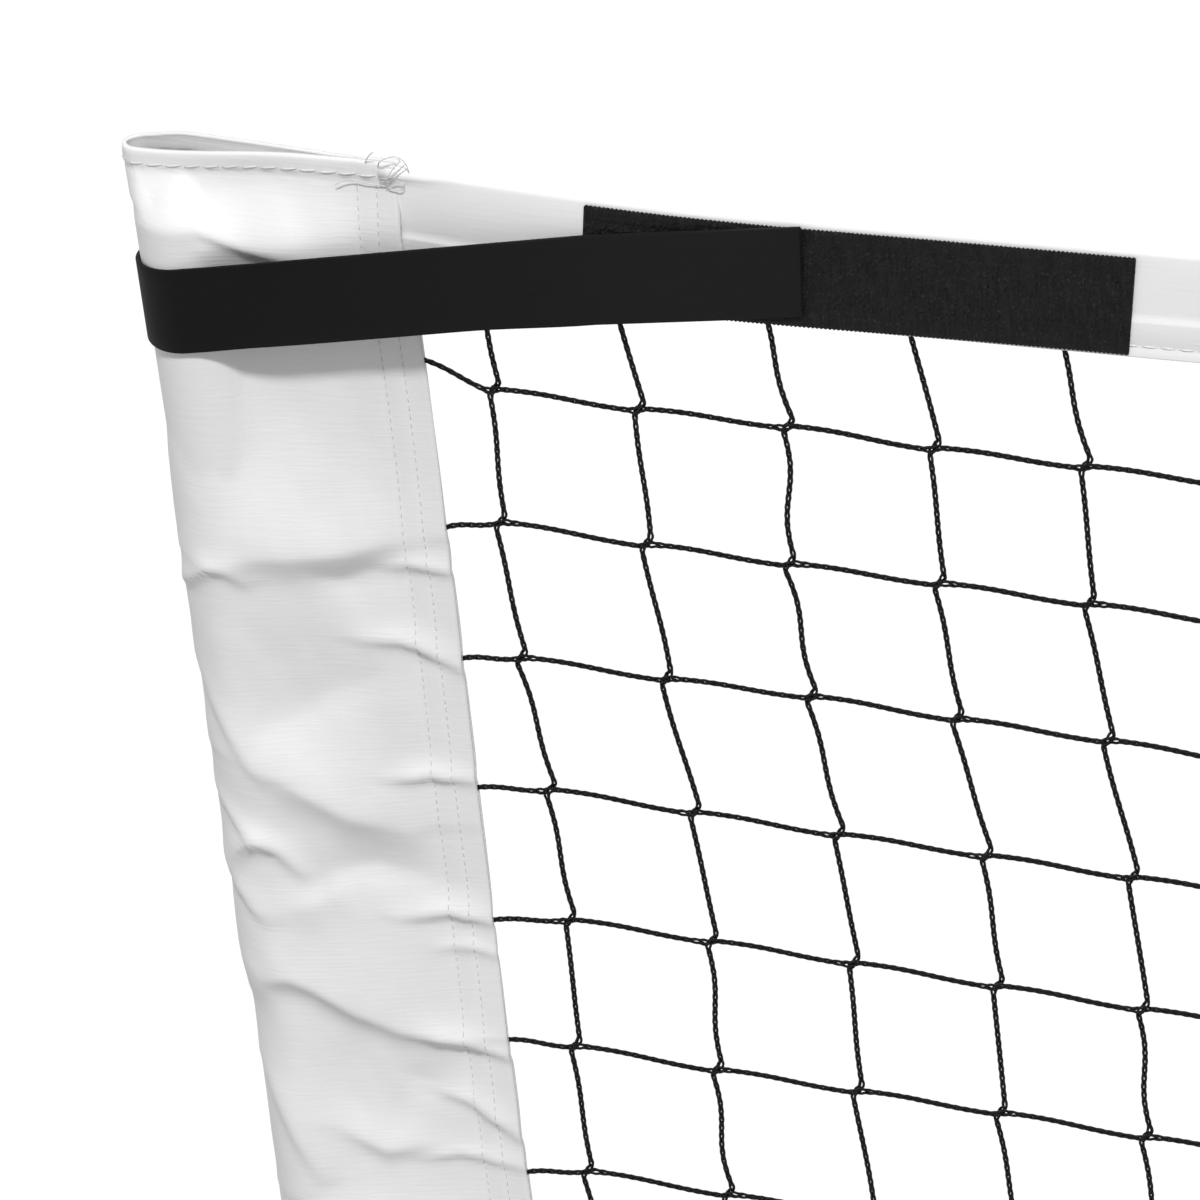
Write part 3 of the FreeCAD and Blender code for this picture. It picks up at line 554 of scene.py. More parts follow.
def lift_at(across):
    """How far the tape stands over its line near a post: slack at first, then drawn up."""
    gone = TAPE_END - abs(across)
    slack = -2.8 * MM * math.exp(-((gone - 100 * MM) / (85 * MM)) ** 2)
    drawn = 7.0 * MM * math.exp(-((gone - 400 * MM) / (150 * MM)) ** 2)
    return slack + drawn


def tape_top(across, drop):
    """Height of the tape's upper edge."""
    return NET_TOP - drop_at(across, drop) + lift_at(across)


def tape_face(up, sizes):
    """Depth of the tape's face at a height over its lower edge, seam allowance included."""
    seam = 0.5 * MM
    return TAPE_FOOT + (sizes.tape_roll - TAPE_FOOT) * up / (sizes.tape_height - sizes.tape_roll) + seam


def spread(low, high, step):
    """Even places from low to high, about a step apart."""
    count = max(2, round((high - low) / step))
    return [low + (high - low) * index / count for index in range(count + 1)]


# Sleeve

FLANGE_STEPS = (0.0, 0.12, 0.3, 0.46, 0.525, 0.59, 0.72, 0.9)
STITCHED = 4                    # step of the flange that its outer seam runs along
SIDE_STEPS, FOLD_STEPS = 36, 18
MOUTH_TIP = -23.4 * MM          # outer end of the open mouth, from the post's axis
MOUTH_NOSE = Vector((7 * MM, 5.7 * MM))


def touch_angle(radius, across, depth):
    """Turn round the post at which a straight run from a place beside it meets it."""
    return math.atan2(depth, across) + math.acos(radius / math.hypot(across, depth))


def on_circle(radius, turn):
    return Vector((radius * math.cos(turn), radius * math.sin(turn)))


def round_section(sizes):
    """One side of the sleeve's section round the post, from its sewn edge to its outer fold."""
    seam, leaf, radius = SLEEVE_EDGE - sizes.flange, sizes.sleeve_leaf, SLEEVE_RADIUS
    angle = touch_angle(radius, seam, leaf)
    row = [Vector((SLEEVE_EDGE - sizes.flange * share, leaf)) for share in FLANGE_STEPS]
    touch = on_circle(radius, angle)
    row += [Vector((seam, leaf)).lerp(touch, step / SIDE_STEPS) for step in range(SIDE_STEPS)]
    row += [on_circle(radius, angle + (math.pi - angle) * step / (FOLD_STEPS - 1))
            for step in range(FOLD_STEPS)]
    return row


def mouth_section(sizes):
    """The same side at the open mouth: a drop with its blunt end outwards."""
    seam, leaf, nose = SLEEVE_EDGE - sizes.flange, sizes.sleeve_leaf, MOUTH_NOSE
    row = [Vector((SLEEVE_EDGE - sizes.flange * share, leaf)) for share in FLANGE_STEPS]
    turn_place = MOUTH_TIP + nose.x
    for step in range(SIDE_STEPS):
        share = step / SIDE_STEPS
        bulge = math.sin(share * math.pi / 2)
        row.append(Vector((seam + (turn_place - seam) * share, leaf + (nose.y - leaf) * bulge)))
    for step in range(FOLD_STEPS):
        turn = math.pi / 2 * (1 + step / (FOLD_STEPS - 1))
        row.append(Vector((turn_place + nose.x * math.cos(turn), nose.y * math.sin(turn))))
    return row


# Folds of the sleeve in millimetres: height, width of the upper and lower slope, and the crest as
# places across from the post and below the rim
SLEEVE_FOLDS = (
    (2.9, 13, 3.0, ((-10, 21), (0, 23), (9, 25), (18, 28), (28, 34), (43, 38), (58, 42))),
    (2.6, 5, 2.2, ((-18, 181), (-12, 177), (-2, 168), (3, 168), (10, 175))),
    (4.6, 20, 8, ((0, 167), (16, 163), (34, 162), (48, 161), (60, 158), (74, 157))),
    (-2.0, 5, 9, ((34, 173), (47, 175), (64, 167))),
    (-2.8, 22, 13, ((4, 238), (22, 233), (38, 222), (56, 214))),
    (2.4, 4, 2, ((62, 169), (74, 168), (88, 171))),
    (2.8, 6, 2.4, ((48, 200), (64, 200), (74, 205), (88, 214))),
    (2.2, 11, 2.5, ((-16, 214), (-8, 232), (-3, 241), (2, 252), (6, 259))),
    (4.8, 18, 9, ((0, 252), (18, 262), (38, 275), (58, 283))),
    (2.6, 5, 2, ((54, 260), (70, 259), (88, 261))),
    (1.6, 4, 1.6, ((-18, 266), (-8, 278), (-3, 284), (1, 291))),
    (-2.6, 9, 12, ((26, 302), (44, 299), (62, 305))),
    (3.2, 5, 3, ((-12, 302), (-7, 293), (1, 286), (8, 291), (16, 302))),
    (2.0, 7, 2.2, ((-18, 296), (-12, 308), (-6, 317), (-1, 323))),
    (1.8, 7, 15, ((2, 318), (20, 315), (36, 308))),
    (2.8, 6, 2.2, ((52, 322), (70, 320), (88, 324))),
    (1.4, 3, 2, ((64, 336), (76, 335), (88, 339))),
    (4.8, 22, 5.5, ((-12, 360), (-5, 350), (4, 347), (14, 352), (30, 363), (48, 372), (68, 377))),
    (2.8, 6, 2.2, ((52, 374), (70, 378), (88, 385))),
    (-1.2, 6, 7, ((44, 392), (60, 400))),
    (2.2, 6, 2, ((56, 400), (68, 405), (80, 416), (88, 424))),
    (1.9, 10, 2.4, ((-14, 392), (-6, 410), (0, 425), (6, 440))),
    (2.4, 10, 4, ((16, 416), (34, 426), (52, 424))),
    (1.8, 5, 1.8, ((48, 431), (62, 429), (88, 436))),
    (3.8, 18, 7, ((0, 452), (20, 462), (42, 468), (64, 480))),
    (1.8, 5, 1.6, ((60, 500), (88, 506))),
    (2.0, 5, 2, ((-16, 506), (-4, 500), (10, 512))),
    (4.0, 18, 8, ((4, 540), (26, 548), (50, 562), (72, 568))),
    (1.8, 5, 1.6, ((54, 590), (88, 592))),
    (2.2, 6, 2.2, ((-14, 606), (-2, 596), (10, 608))),
    (4.0, 20, 8, ((6, 642), (30, 634), (58, 650))),
    (1.8, 6, 2, ((56, 680), (88, 690))),
    (2.2, 10, 4, ((-6, 700), (14, 712), (40, 722))),
)
FOLD_REACH = 3.2                # how far a fold is felt, in widths of its wider slope
FOLDS_AGAIN = 740               # the same folds once more, further down, in millimetres
FOLDS_BEHIND = 310              # how far the folds of the back are shifted, in millimetres


def smooth(value):
    """0 to 1 with soft ends."""
    value = min(max(value, 0.0), 1.0)
    return value * value * (3 - 2 * value)


def edge_drift(height):
    """How far the sleeve's sewn edge stands nearer to the post on the way down."""
    return 4.6 * MM * smooth((834 * MM - height) / (330 * MM))


def placed_folds(shift):
    """Folds moved down the sleeve by shift, each with the box that it reaches."""
    folds = []
    for height, up, down, crest in SLEEVE_FOLDS:
        reach = FOLD_REACH * max(up, down)
        for again in (0, -FOLDS_AGAIN):
            spots = [(across, below + shift + again) for across, below in crest]
            lows = [below for _, below in spots]
            if min(lows) > 8 and max(lows) < 770:
                sides = [across for across, _ in spots]
                folds.append((height, up, down, spots, min(sides) - reach, max(sides) + reach,
                              min(lows) - reach, max(lows) + reach))
    return folds


def fold_height(across, below, folds):
    """Sum of the folds at a place of the sleeve."""
    total = 0.0
    for height, up, down, spots, left, right, top, foot in folds:
        if not (left < across < right and top < below < foot):
            continue
        nearest = None
        for number in range(len(spots) - 1):
            (x0, b0), (x1, b1) = spots[number], spots[number + 1]
            dx, db = x1 - x0, b1 - b0
            share = min(max(((across - x0) * dx + (below - b0) * db) / (dx * dx + db * db), 0), 1)
            gap_x, gap_b = across - x0 - dx * share, below - b0 - db * share
            gap = gap_x * gap_x + gap_b * gap_b
            if nearest is None or gap < nearest[0]:
                nearest = (gap, gap_b, (number + share) / (len(spots) - 1))
        gap, aside, place = nearest
        width = up + (down - up) * smooth(aside / (0.5 * min(up, down)) + 0.5)
        ends = 0.3 + 0.7 * math.sin(math.pi * place)
        total += height * ends * math.exp(-(math.sqrt(gap) / width) ** 1.5)
    return total


def levels(height, foot, foot_fade, top, top_fade):
    """1 between two heights and faded to 0 outside them, all in millimetres."""
    return smooth((top - height) / top_fade) * smooth((height - foot) / foot_fade)


def sleeve_wave(place, sign, height, shift):
    """Slow unevenness of the cloth, fuller below the strap, in millimetres."""
    spot = Vector((place.x * 22, sign * place.y * 30, height * 13 + shift))
    wave = noise.noise(spot) * 1.7 + noise.noise(spot * 2.3) * 0.7 + noise.noise(spot * 5) * 0.25
    return wave + 1.1 * smooth((800 * MM - height) / (60 * MM))


def sleeve_rows(sizes, post_top, shift):
    """Outer and inner rows of points of a sleeve, from its lower edge to its rim."""
    high, hem_line, fine_from = NET_TOP, NET_TOP - sizes.hem, NET_TOP - 470 * MM
    heights = spread(SLEEVE_LOW, fine_from, 4 * MM)[:-1] + spread(fine_from, hem_line, 2 * MM)[:-1]
    heights += spread(hem_line, high, 0.9 * MM)
    tape_foot = high - sizes.tape_height
    flange_count = len(FLANGE_STEPS)
    side_end = flange_count + SIDE_STEPS
    round_row, mouth_row = round_section(sizes), mouth_section(sizes)
    folds_front, folds_back = placed_folds(shift), placed_folds(shift + FOLDS_BEHIND)
    outer, inner = [], []
    for number, height in enumerate(heights):
        open_part = smooth((height - post_top + 6 * MM) / (high - post_top))
        half = [ring.lerp(drop, open_part) for ring, drop in zip(round_row, mouth_row)]
        below = (high - height) / MM
        in_hem = height > hem_line + 0.4 * MM
        on_stitch = abs(height - hem_line) < 0.5 * MM
        from_rim = len(heights) - 1 - number
        fade = smooth(below / 14)
        pinch = 0.75 * smooth((tape_foot - height) / (14 * MM))
        sag = 5.6 * MM * levels(height / MM, 745, 80, 882, 28)
        proud = 4.6 * MM * levels(height / MM, 846, 22, 908, 26)
        drift = edge_drift(height)
        held = max(smooth((38 * MM - abs(height - place)) / (8 * MM)) for place in STRAP_HOLDS)
        wall = sizes.sleeve_sheet * (1.6 if in_hem else 1.0)
        pair = []
        for sign in (-1, 1):
            skins = ([], [])
            for index, place in enumerate(half):
                before, after = beside(half, index)
                normal = Vector(((after - before).y, (before - after).x)).normalized()
                if index == len(half) - 1:
                    normal = Vector((-1, 0))
                across = round_row[index].x / MM
                lift = front_lift = fold_height(across, below, folds_front)
                if sign > 0:
                    lift += (fold_height(across, below, folds_back) - lift) * smooth((across + 20) / 14)
                in_flange = smooth((across - 58) / 14)
                leaf_shift = front_lift * in_flange * fade * MM
                lift *= 1 - in_flange
                wave = sleeve_wave(place, sign, height, shift) * (1 - 0.6 * in_flange)
                hem = 0.12 if in_hem else 0.0
                if on_stitch:
                    hem = -0.3 + 0.25 * math.sin(2 * math.pi * across / (sizes.hem_stitch / MM))
                keep = 0.85 + 0.15 * smooth((index - flange_count + 1) / 4)
                offset = ((lift + wave) * fade * keep + hem) * MM
                if sign > 0 or across < 22:
                    offset -= max(0, offset - 0.15 * MM) * held
                if index in (STITCHED, flange_count):
                    offset -= 0.2 * MM
                if sign < 0:
                    offset += proud * smooth((across - 24) / 22) * (1 - 0.35 * smooth((across - 64) / 22))
                if flange_count <= index < side_end:
                    offset -= sag * math.sin(math.pi * ((index - flange_count) / SIDE_STEPS) ** 1.6)
                offset -= (0.42, 0.16, 0.04)[from_rim] * MM if from_rim < 3 else 0
                mouth = mouth_row[index].x / MM
                rim = 4.3 * smooth((50 - mouth) / 66) if sign < 0 else 1 + 3.3 * smooth((2 - mouth) / 25)
                rim *= -MM * smooth((86 - mouth) / 20) * smooth(1 - below / 60)
                thin = 1 - pinch * smooth(1 - index / flange_count)
                over = max(0, height + rim - post_top)
                faces = ((skins[0], offset, wall, 0.15 * MM), (skins[1], offset - wall, 0, 0))
                for skin, depth, room, least in faces:
                    spot = Vector((place.x, place.y * thin)) + normal * depth
                    clear = POST_RADIUS + 0.3 * MM + room - 1.1 * over * over / (over + 5 * MM)
                    if 0 < spot.length < clear:
                        spot = spot.normalized() * clear
                    skin.append(Vector((spot.x - drift * smooth((across + 5) / 60),
                                        sign * max(spot.y, least) - leaf_shift, height + rim)))
            pair.append(skins)
        outer.append(pair[0][0] + pair[1][0][-2::-1])
        inner.append(pair[0][1] + pair[1][1][-2::-1])
    return outer, inner


def sew(skin, path, normals, pitch, part, radius, slant=0.0):
    """Stitches along a seam: short threads that dip into the sheet at both ends."""
    gone = lengths(path)

    def at(distance):
        index = min(bisect.bisect_left(gone, distance, 1), len(gone) - 1) - 1
        share = (distance - gone[index]) / max(gone[index + 1] - gone[index], 1e-9)
        return path[index].lerp(path[index + 1], share), normals[index].lerp(normals[index + 1], share)

    for number in range(int(gone[-1] / pitch)):
        begin = (number + 0.5 * (1 - part)) * pitch
        points = []
        for step, lift in enumerate((-0.5, 0.35, 0.55, 0.35, -0.5)):
            spot, normal = at(begin + part * pitch * step / 4)
            up = Vector((0, 0, slant * (step / 4 - 0.5)))
            points.append(spot + normal * lift * radius * 1.6 + up)
        skin.tube(points, radius, 5)


def outward(outer, inner):
    """Directions from one row of points to the row over it."""
    return [(out - inn).normalized() for out, inn in zip(outer, inner)]


# Loose thread ends at the corner of sleeve and tape: across from the post and height over the
# rim in millimetres
THREAD_ENDS = (
    ((74, -1, 2), (77, 3.4, 4), (79.6, 6.0, 5)),
    ((79, -2, 2), (82, 2.6, 5), (87, 4.8, 4.5), (90.6, 3.2, 4), (92, -1, 3.5)),
    ((81, -7, 3), (83.5, -4.8, 5), (86, -0.8, 5), (89.5, 3.0, 4)),
    ((82, -6, 3.6), (85, -4.0, 4.5), (88, -1.4, 4.5), (91.4, 2.4, 4)),
    ((62.8, -9.2, 5.2), (66.2, -7.6, 4.6), (70.3, -7, 4), (74, -8.2, 3.6), (82, -8.4, 3.4)),
    ((82, -9.4, 3.4), (86.5, -5.6, 4.4), (89.6, -6.2, 4.2), (88, -9.0, 4), (83, -9.2, 3.6)),
)


def curve_through(points, steps):
    """Smooth line through the points."""
    path = []
    padded = [points[0]] + list(points) + [points[-1]]
    for p0, p1, p2, p3 in zip(padded, padded[1:], padded[2:], padded[3:]):
        for step in range(steps):
            t = step / steps
            path.append(0.5 * (2 * p1 + (p2 - p0) * t + (2 * p0 - 5 * p1 + 4 * p2 - p3) * t * t
                               + (3 * p1 - p0 - 3 * p2 + p3) * t ** 3))
    return path + [points[-1]]


def make_sleeve(sizes, name, side, shift):
    """One sleeve with the threads of its seams; shift moves its folds."""
    outer, inner = ([[Vector((-side * (place.x - POST_X), place.y, place.z)) for place in row]
                     for row in rows] for rows in sleeve_rows(sizes, POST_TOP + MM, shift))
    widths = lengths(outer[0])
    skin = Skin()
    skin.wall(outer, inner, [row[0].z for row in outer], widths)
    sleeve = skin.piece(name + "_cloth", "vinyl")
    face_outwards(sleeve)
    rest(sleeve, name, slot="white_vinyl")

    threads = Skin()
    level_column = 30
    hem_row = min(range(len(outer)),
                  key=lambda number: abs(outer[number][level_column].z - (NET_TOP - sizes.hem)))
    sew(threads, outer[hem_row], outward(outer[hem_row], inner[hem_row]), sizes.hem_stitch, 0.88,
        0.3 * MM, -side * -0.8 * MM)
    last = len(outer[0]) - 1
    for column in (STITCHED, len(FLANGE_STEPS), last - STITCHED, last - len(FLANGE_STEPS)):
        path = [row[column] for row in outer[:hem_row]]
        normals = outward(path, [row[column] for row in inner])
        sew(threads, path, normals, sizes.stitch, 0.72, 0.17 * MM)
    for spots in THREAD_ENDS:
        points = [Vector((-side * (across * MM - POST_X), -depth * MM, NET_TOP + up * MM))
                  for across, up, depth in spots]
        threads.tube(curve_through(points, 7), 0.2 * MM, 5)
    seams = threads.piece(name + "_stitches", "thread")
    face_outwards(seams)
    rest(seams, slot="white_vinyl")


# Netting

ROWS = 12
NEAR_COLUMNS, NEAR_ROWS = 9, 8  # cords at the top left corner that are knitted in full
CHAIN_STITCH = 3.8 * MM
NET_TUCK = 10 * MM              # how far the upright cords go up into the tape


def knot(column, row, sizes):
    """Crossing of a netting cord with a row, where the rows wander a little to the side."""
    across = -FIRST_CORD + column * sizes.mesh
    sway = -3.7 * MM * math.sin(2 * math.pi * (row - 0.27) / 4.4 + 0.06 * column)
    spot = Vector((column * 0.83, row * 0.91, 4.2))
    jitter = Vector((noise.noise(spot), noise.noise(spot + Vector((31.4, 17.7, 9.6)))))
    height = sizes.first_row - row * sizes.mesh - drop_at(across, sizes.drop)
    return Vector((across + sway + jitter.x * 1.6 * MM, 0, height + jitter.y * 1.4 * MM))


def soften(path, times):
    """Path with its corners rounded."""
    for _ in range(times):
        path = [path[0]] + [(before + 2 * point + after) / 4
                            for before, point, after in zip(path, path[1:], path[2:])] + [path[-1]]
    return path


def resample(path, step):
    """Points at even distances along a path."""
    points = [path[0]]
    left = step
    for start, end in zip(path, path[1:]):
        span = (end - start).length
        place = left
        while place <= span:
            points.append(start.lerp(end, place / span))
            place += step
        left = place - span
    return points


def chain(skin, path, sizes):
    """Knitted cord: two plies side by side and one that changes sides between them."""
    plies = ([], [], [])
    fine = soften(resample(path, CHAIN_STITCH / 5), 2)
    for index, (point, gone) in enumerate(zip(fine, lengths(fine))):
        before, after = beside(fine, index)
        forward = (after - before).normalized()
        side = forward.cross(BACK).normalized()
        depth = side.cross(forward)
        turn = 2 * math.pi * gone / CHAIN_STITCH
        cell = (point.x + FIRST_CORD) / sizes.mesh, (sizes.first_row - point.z) / sizes.mesh
        from_knot = math.hypot(*(part - round(part) for part in cell)) * sizes.mesh / MM
        wider = 1 + 0.7 * math.exp(-(from_knot / 3.2) ** 2)
        half = (0.55 + 0.11 * math.cos(turn)) * MM * wider
        plies[0].append(point + side * half)
        plies[1].append(point - side * half)
        swing = side * 0.5 * math.cos(turn / 2) + depth * 0.45 * math.sin(turn / 2)
        plies[2].append(point + swing * MM)
    for ply, radius in zip(plies, (0.54, 0.54, 0.42)):
        skin.tube(ply, radius * MM, 5)


def between(start, end, sway, sag):
    """Slack line from one knot to the next."""
    across = (end - start).normalized().cross(BACK)
    points, steps = [], 8
    for step in range(steps + 1):
        share = step / steps
        curve = sway * math.sin(2 * math.pi * share) + sag * math.sin(math.pi * share)
        points.append(start.lerp(end, share) + across * curve)
    return points


def upright_cord(column, sizes):
    """Lines of one upright cord from the tape down to the band."""
    runs, jog, layer = [], Vector((2.1 * MM, 0, 2.7 * MM)), BACK * 0.5 * MM
    for row in range(-1, ROWS):
        here, after = knot(column, row, sizes), knot(column, row + 1, sizes)
        if row == -1:
            lean = (2 if column == 0 else 6) * MM
            top = tape_top(after.x, sizes.drop) - sizes.tape_height + NET_TUCK
            here = Vector((after.x - lean, 0, top))
        if row == ROWS - 1:
            foot = BAND_BOX[0].z + sizes.drop + 33 * MM - drop_at(here.x, sizes.drop)
            after = Vector((here.x, 0, foot))
        start = here + (layer - jog) * (row >= 0)
        end = after + (layer + jog) * (row < ROWS - 1)
        sway = (0.5 + 1.6 * noise.noise(Vector((column * 0.7, row * 0.6, 9)))) * MM
        runs.append(between(start, end, sway, 0.9 * MM * noise.noise(Vector((column, row * 0.7, 2)))))
    return runs


def row_cord(row, columns, sizes):
    """Lines of one row from sleeve to sleeve."""
    runs, jog, layer = [], Vector((2 * MM, 0, 0.7 * MM)), BACK * -0.4 * MM
    edge = POST_X - SLEEVE_EDGE + MM
    for column in range(-1, columns):
        here, after = knot(column, row, sizes), knot(column + 1, row, sizes)
        if column == -1:
            pull = 9 * MM if row == 0 else -4 * MM * (0.4 + abs(math.sin(row * 1.9)))
            here = Vector((-edge - edge_drift(after.z + pull), 0, after.z + pull))
        if column == columns - 1:
            pull = -3 * MM * math.sin(row * 2.3)
            after = Vector((edge + edge_drift(here.z + pull), 0, here.z + pull))
        start = here + (layer + jog) * (column >= 0)
        end = after + (layer - jog) * (column < columns - 1)
        runs.append(between(start, end, 0.4 * MM, 0.4 * MM))
    return runs


class NETDRESS_OT_netting(bpy.types.Operator):
    """Knotless netting, its cords knitted of three plies where it is seen close"""
    bl_idname = "netdress.netting"
    bl_label = "Netting"

    def execute(self, context):
        sizes = context.scene.net_sizes
        columns = round(2 * FIRST_CORD / sizes.mesh) + 1
        near, far = (Skin(), Skin()), (Skin(), Skin())
        for column in range(columns):
            split = NEAR_ROWS + 1 if column < NEAR_COLUMNS else 0
            self.cord(near[0], far[0], upright_cord(column, sizes), split, sizes)
        for row in range(ROWS):
            split = NEAR_COLUMNS if row < NEAR_ROWS else 0
            self.cord(near[1], far[1], row_cord(row, columns, sizes), split, sizes)
        names = ("netting_uprights_near", "netting_rows_near", "netting_uprights", "netting_rows")
        for skin, name in zip(near + far, names):
            rest(skin.piece(name, "braid"), "netting", slot="black_netting")
        return {"FINISHED"}

    def cord(self, near, far, runs, split, sizes):
        """One cord: knitted over its first lines, a plain tube over the others."""
        if split:
            chain(near, [point for run in runs[:split] for point in run] + [runs[split][0]], sizes)
        far.tube([point for run in runs[split:] for point in run], sizes.cord / 2 * 0.92, 5)


class NETDRESS_OT_sleeves(bpy.types.Operator):
    """White sleeves round the uprights, with folds, a hemmed open mouth and sewn edges"""
    bl_idname = "netdress.sleeves"
    bl_label = "Sleeves"

    def execute(self, context):
        sizes = context.scene.net_sizes
        for (name, side), shift in zip(SIDES, (0, 230)):
            make_sleeve(sizes, name + "_sleeve", side, shift)
        return {"FINISHED"}


class NETDRESS_OT_tape(bpy.types.Operator):
    """Top tape folded over the headline cord and sewn along its lower edge"""
    bl_idname = "netdress.tape"
    bl_label = "Top tape"

    def execute(self, context):
        sizes = context.scene.net_sizes
        outer, inner, along = [], [], []
        roll, height = sizes.tape_roll, sizes.tape_height
        lap, hem, hem_column = 15 * MM, 4.6 * MM, 3
        for across in spread(-TAPE_END - END_TUCK, TAPE_END + END_TUCK, 9 * MM):
            top = tape_top(across, sizes.drop)
            middle = top - roll
            ends = smooth((abs(across) - TAPE_END + 30 * MM) / (25 * MM))
            leaf = TAPE_FOOT + (sizes.tape_leaf - TAPE_FOOT) * ends * 0.8
            start = math.acos(min(1, leaf / roll)) * ends
            rows = ([], [])
            for sign in (-1, 1):
                half = []
                reach = height - roll - roll * math.sin(start)
                face = [0, 0.3 * MM, hem - MM, hem, hem + MM]
                face += [lap - 1.2 * MM, lap - 0.4 * MM, lap + 0.4 * MM]
                face += [lap + (reach - lap) * share for share in (0.12, 0.3, 0.5, 0.7, 0.87)]
                for up in face:
                    depth = leaf + (roll * math.cos(start) - leaf) * up / reach
                    ripple = noise.noise(Vector((across * 26, sign * 2.0, up * 55))) * 0.3 * MM
                    ripple += noise.noise(Vector((across * 6, sign * 4.0, up * 14))) * 0.5 * MM
                    double = 0.45 * MM if up < lap else 0.0
                    dent = -0.35 * MM if up == hem else 0.0
                    scallop = 0.35 * MM * abs(math.sin(math.pi * across / (9 * MM))) * (up < MM)
                    half.append(Vector((depth + max(ripple, -0.2 * MM) * (1 - ends) + double + dent,
                                        top - height + up + scallop)))
                for step in range(9):
                    turn = -start + (math.pi / 2 + start) * step / 8
                    half.append(Vector((0, middle)) + on_circle(roll, turn))
                pair = ([], [])
                for index, place in enumerate(half):
                    before, after = beside(half, index)
                    at_top = index == len(half) - 1
                    way = Vector((-1, 0)) if at_top else (after - before).normalized()
                    under = place - Vector((way.y, -way.x)) * sizes.sheet
                    under_depth = 0.0 if at_top else max(under.x, 0.05 * MM)
                    pair[0].append(Vector((across, sign * place.x, place.y)))
                    pair[1].append(Vector((across, sign * under_depth, under.y)))
                for row, side in zip(rows, pair):
                    row.extend(side if sign < 0 else side[-2::-1])
            outer.append(rows[0])
            inner.append(rows[1])
            along.append(across)
        widths = lengths(outer[0])
        skin = Skin()
        skin.wall(outer, inner, along, widths)
        tape = skin.piece("top_tape_cloth", "tape")
        face_outwards(tape)
        rest(tape, "top_tape", slot="white_vinyl")
        threads = Skin()
        for column, sign in ((hem_column, -1), (len(outer[0]) - 1 - hem_column, 1)):
            sew(threads, [row[column] for row in outer], [BACK * sign] * len(outer), 7 * MM, 0.8, 0.26 * MM)
        rest(threads.piece("tape_stitches", "thread"), slot="white_vinyl")
        return {"FINISHED"}


class NETDRESS_OT_headline(bpy.types.Operator):
    """Headline cord inside the tape's roll"""
    bl_idname = "netdress.headline"
    bl_label = "Headline cord"

    def execute(self, context):
        sizes = context.scene.net_sizes
        path = [Vector((across, 0, tape_top(across, sizes.drop) - sizes.tape_roll))
                for across in spread(-TAPE_END + MM, TAPE_END - MM, 40 * MM)]
        skin = Skin()
        skin.tube(path, 2.1 * MM, 10)
        rest(skin.piece("headline", "cord"), "headline_cord", slot="headline")
        return {"FINISHED"}


FREE_STEPS = 24                 # steps of a strap between the sleeve and the patch


def half_of(obj, name, keep):
    """Closed half of a piece, behind (1) or in front (-1) of the net's middle plane."""
    mesh = obj.data.copy()
    mesh.name = name
    shape = bmesh.new()
    shape.from_mesh(mesh)
    parts = shape.verts[:] + shape.edges[:] + shape.faces[:]
    bmesh.ops.bisect_plane(shape, geom=parts, plane_co=(0, 0, 0), plane_no=(0, 1, 0),
                           clear_inner=keep > 0, clear_outer=keep < 0)
    rim = [edge for edge in shape.edges if edge.is_boundary]
    for face in bmesh.ops.holes_fill(shape, edges=rim)["faces"]:
        face.smooth = False
    for edge in rim:
        edge.smooth = False
    shape.to_mesh(mesh)
    shape.free()
    return placed(mesh)


def strap_route(sizes, patch_face):
    """Middle line of a strap from above, from its sewn end behind round to its tip in front."""
    lift = 0.3 * MM + sizes.strap_thickness / 2
    radius = SLEEVE_RADIUS + lift
    seam, leaf, sewn = SLEEVE_EDGE - sizes.flange, sizes.sleeve_leaf + lift, 12 * MM
    back = touch_angle(SLEEVE_RADIUS, seam, sizes.sleeve_leaf)
    face = patch_face + lift
    patch_start = POST_X - PATCH_BOX[1].x
    front = touch_angle(radius, patch_start, face)
    spots = [Vector((SLEEVE_EDGE - sewn, leaf)), Vector((seam, leaf))]
    spots += [spots[-1].lerp(on_circle(radius, back), share / 8) for share in range(1, 8)]
    spots += [on_circle(radius, back + (2 * math.pi - front - back) * step / 36) for step in range(37)]
    free = len(spots) - 1
    start = Vector((patch_start, -face))
    spots += [spots[-1].lerp(start, share / FREE_STEPS) for share in range(1, FREE_STEPS)]
    tip = Vector((STRAP_TIP - SLEEVE_RADIUS, -face))
    spots += [start.lerp(tip, share / 14) for share in range(15)]
    return spots, free


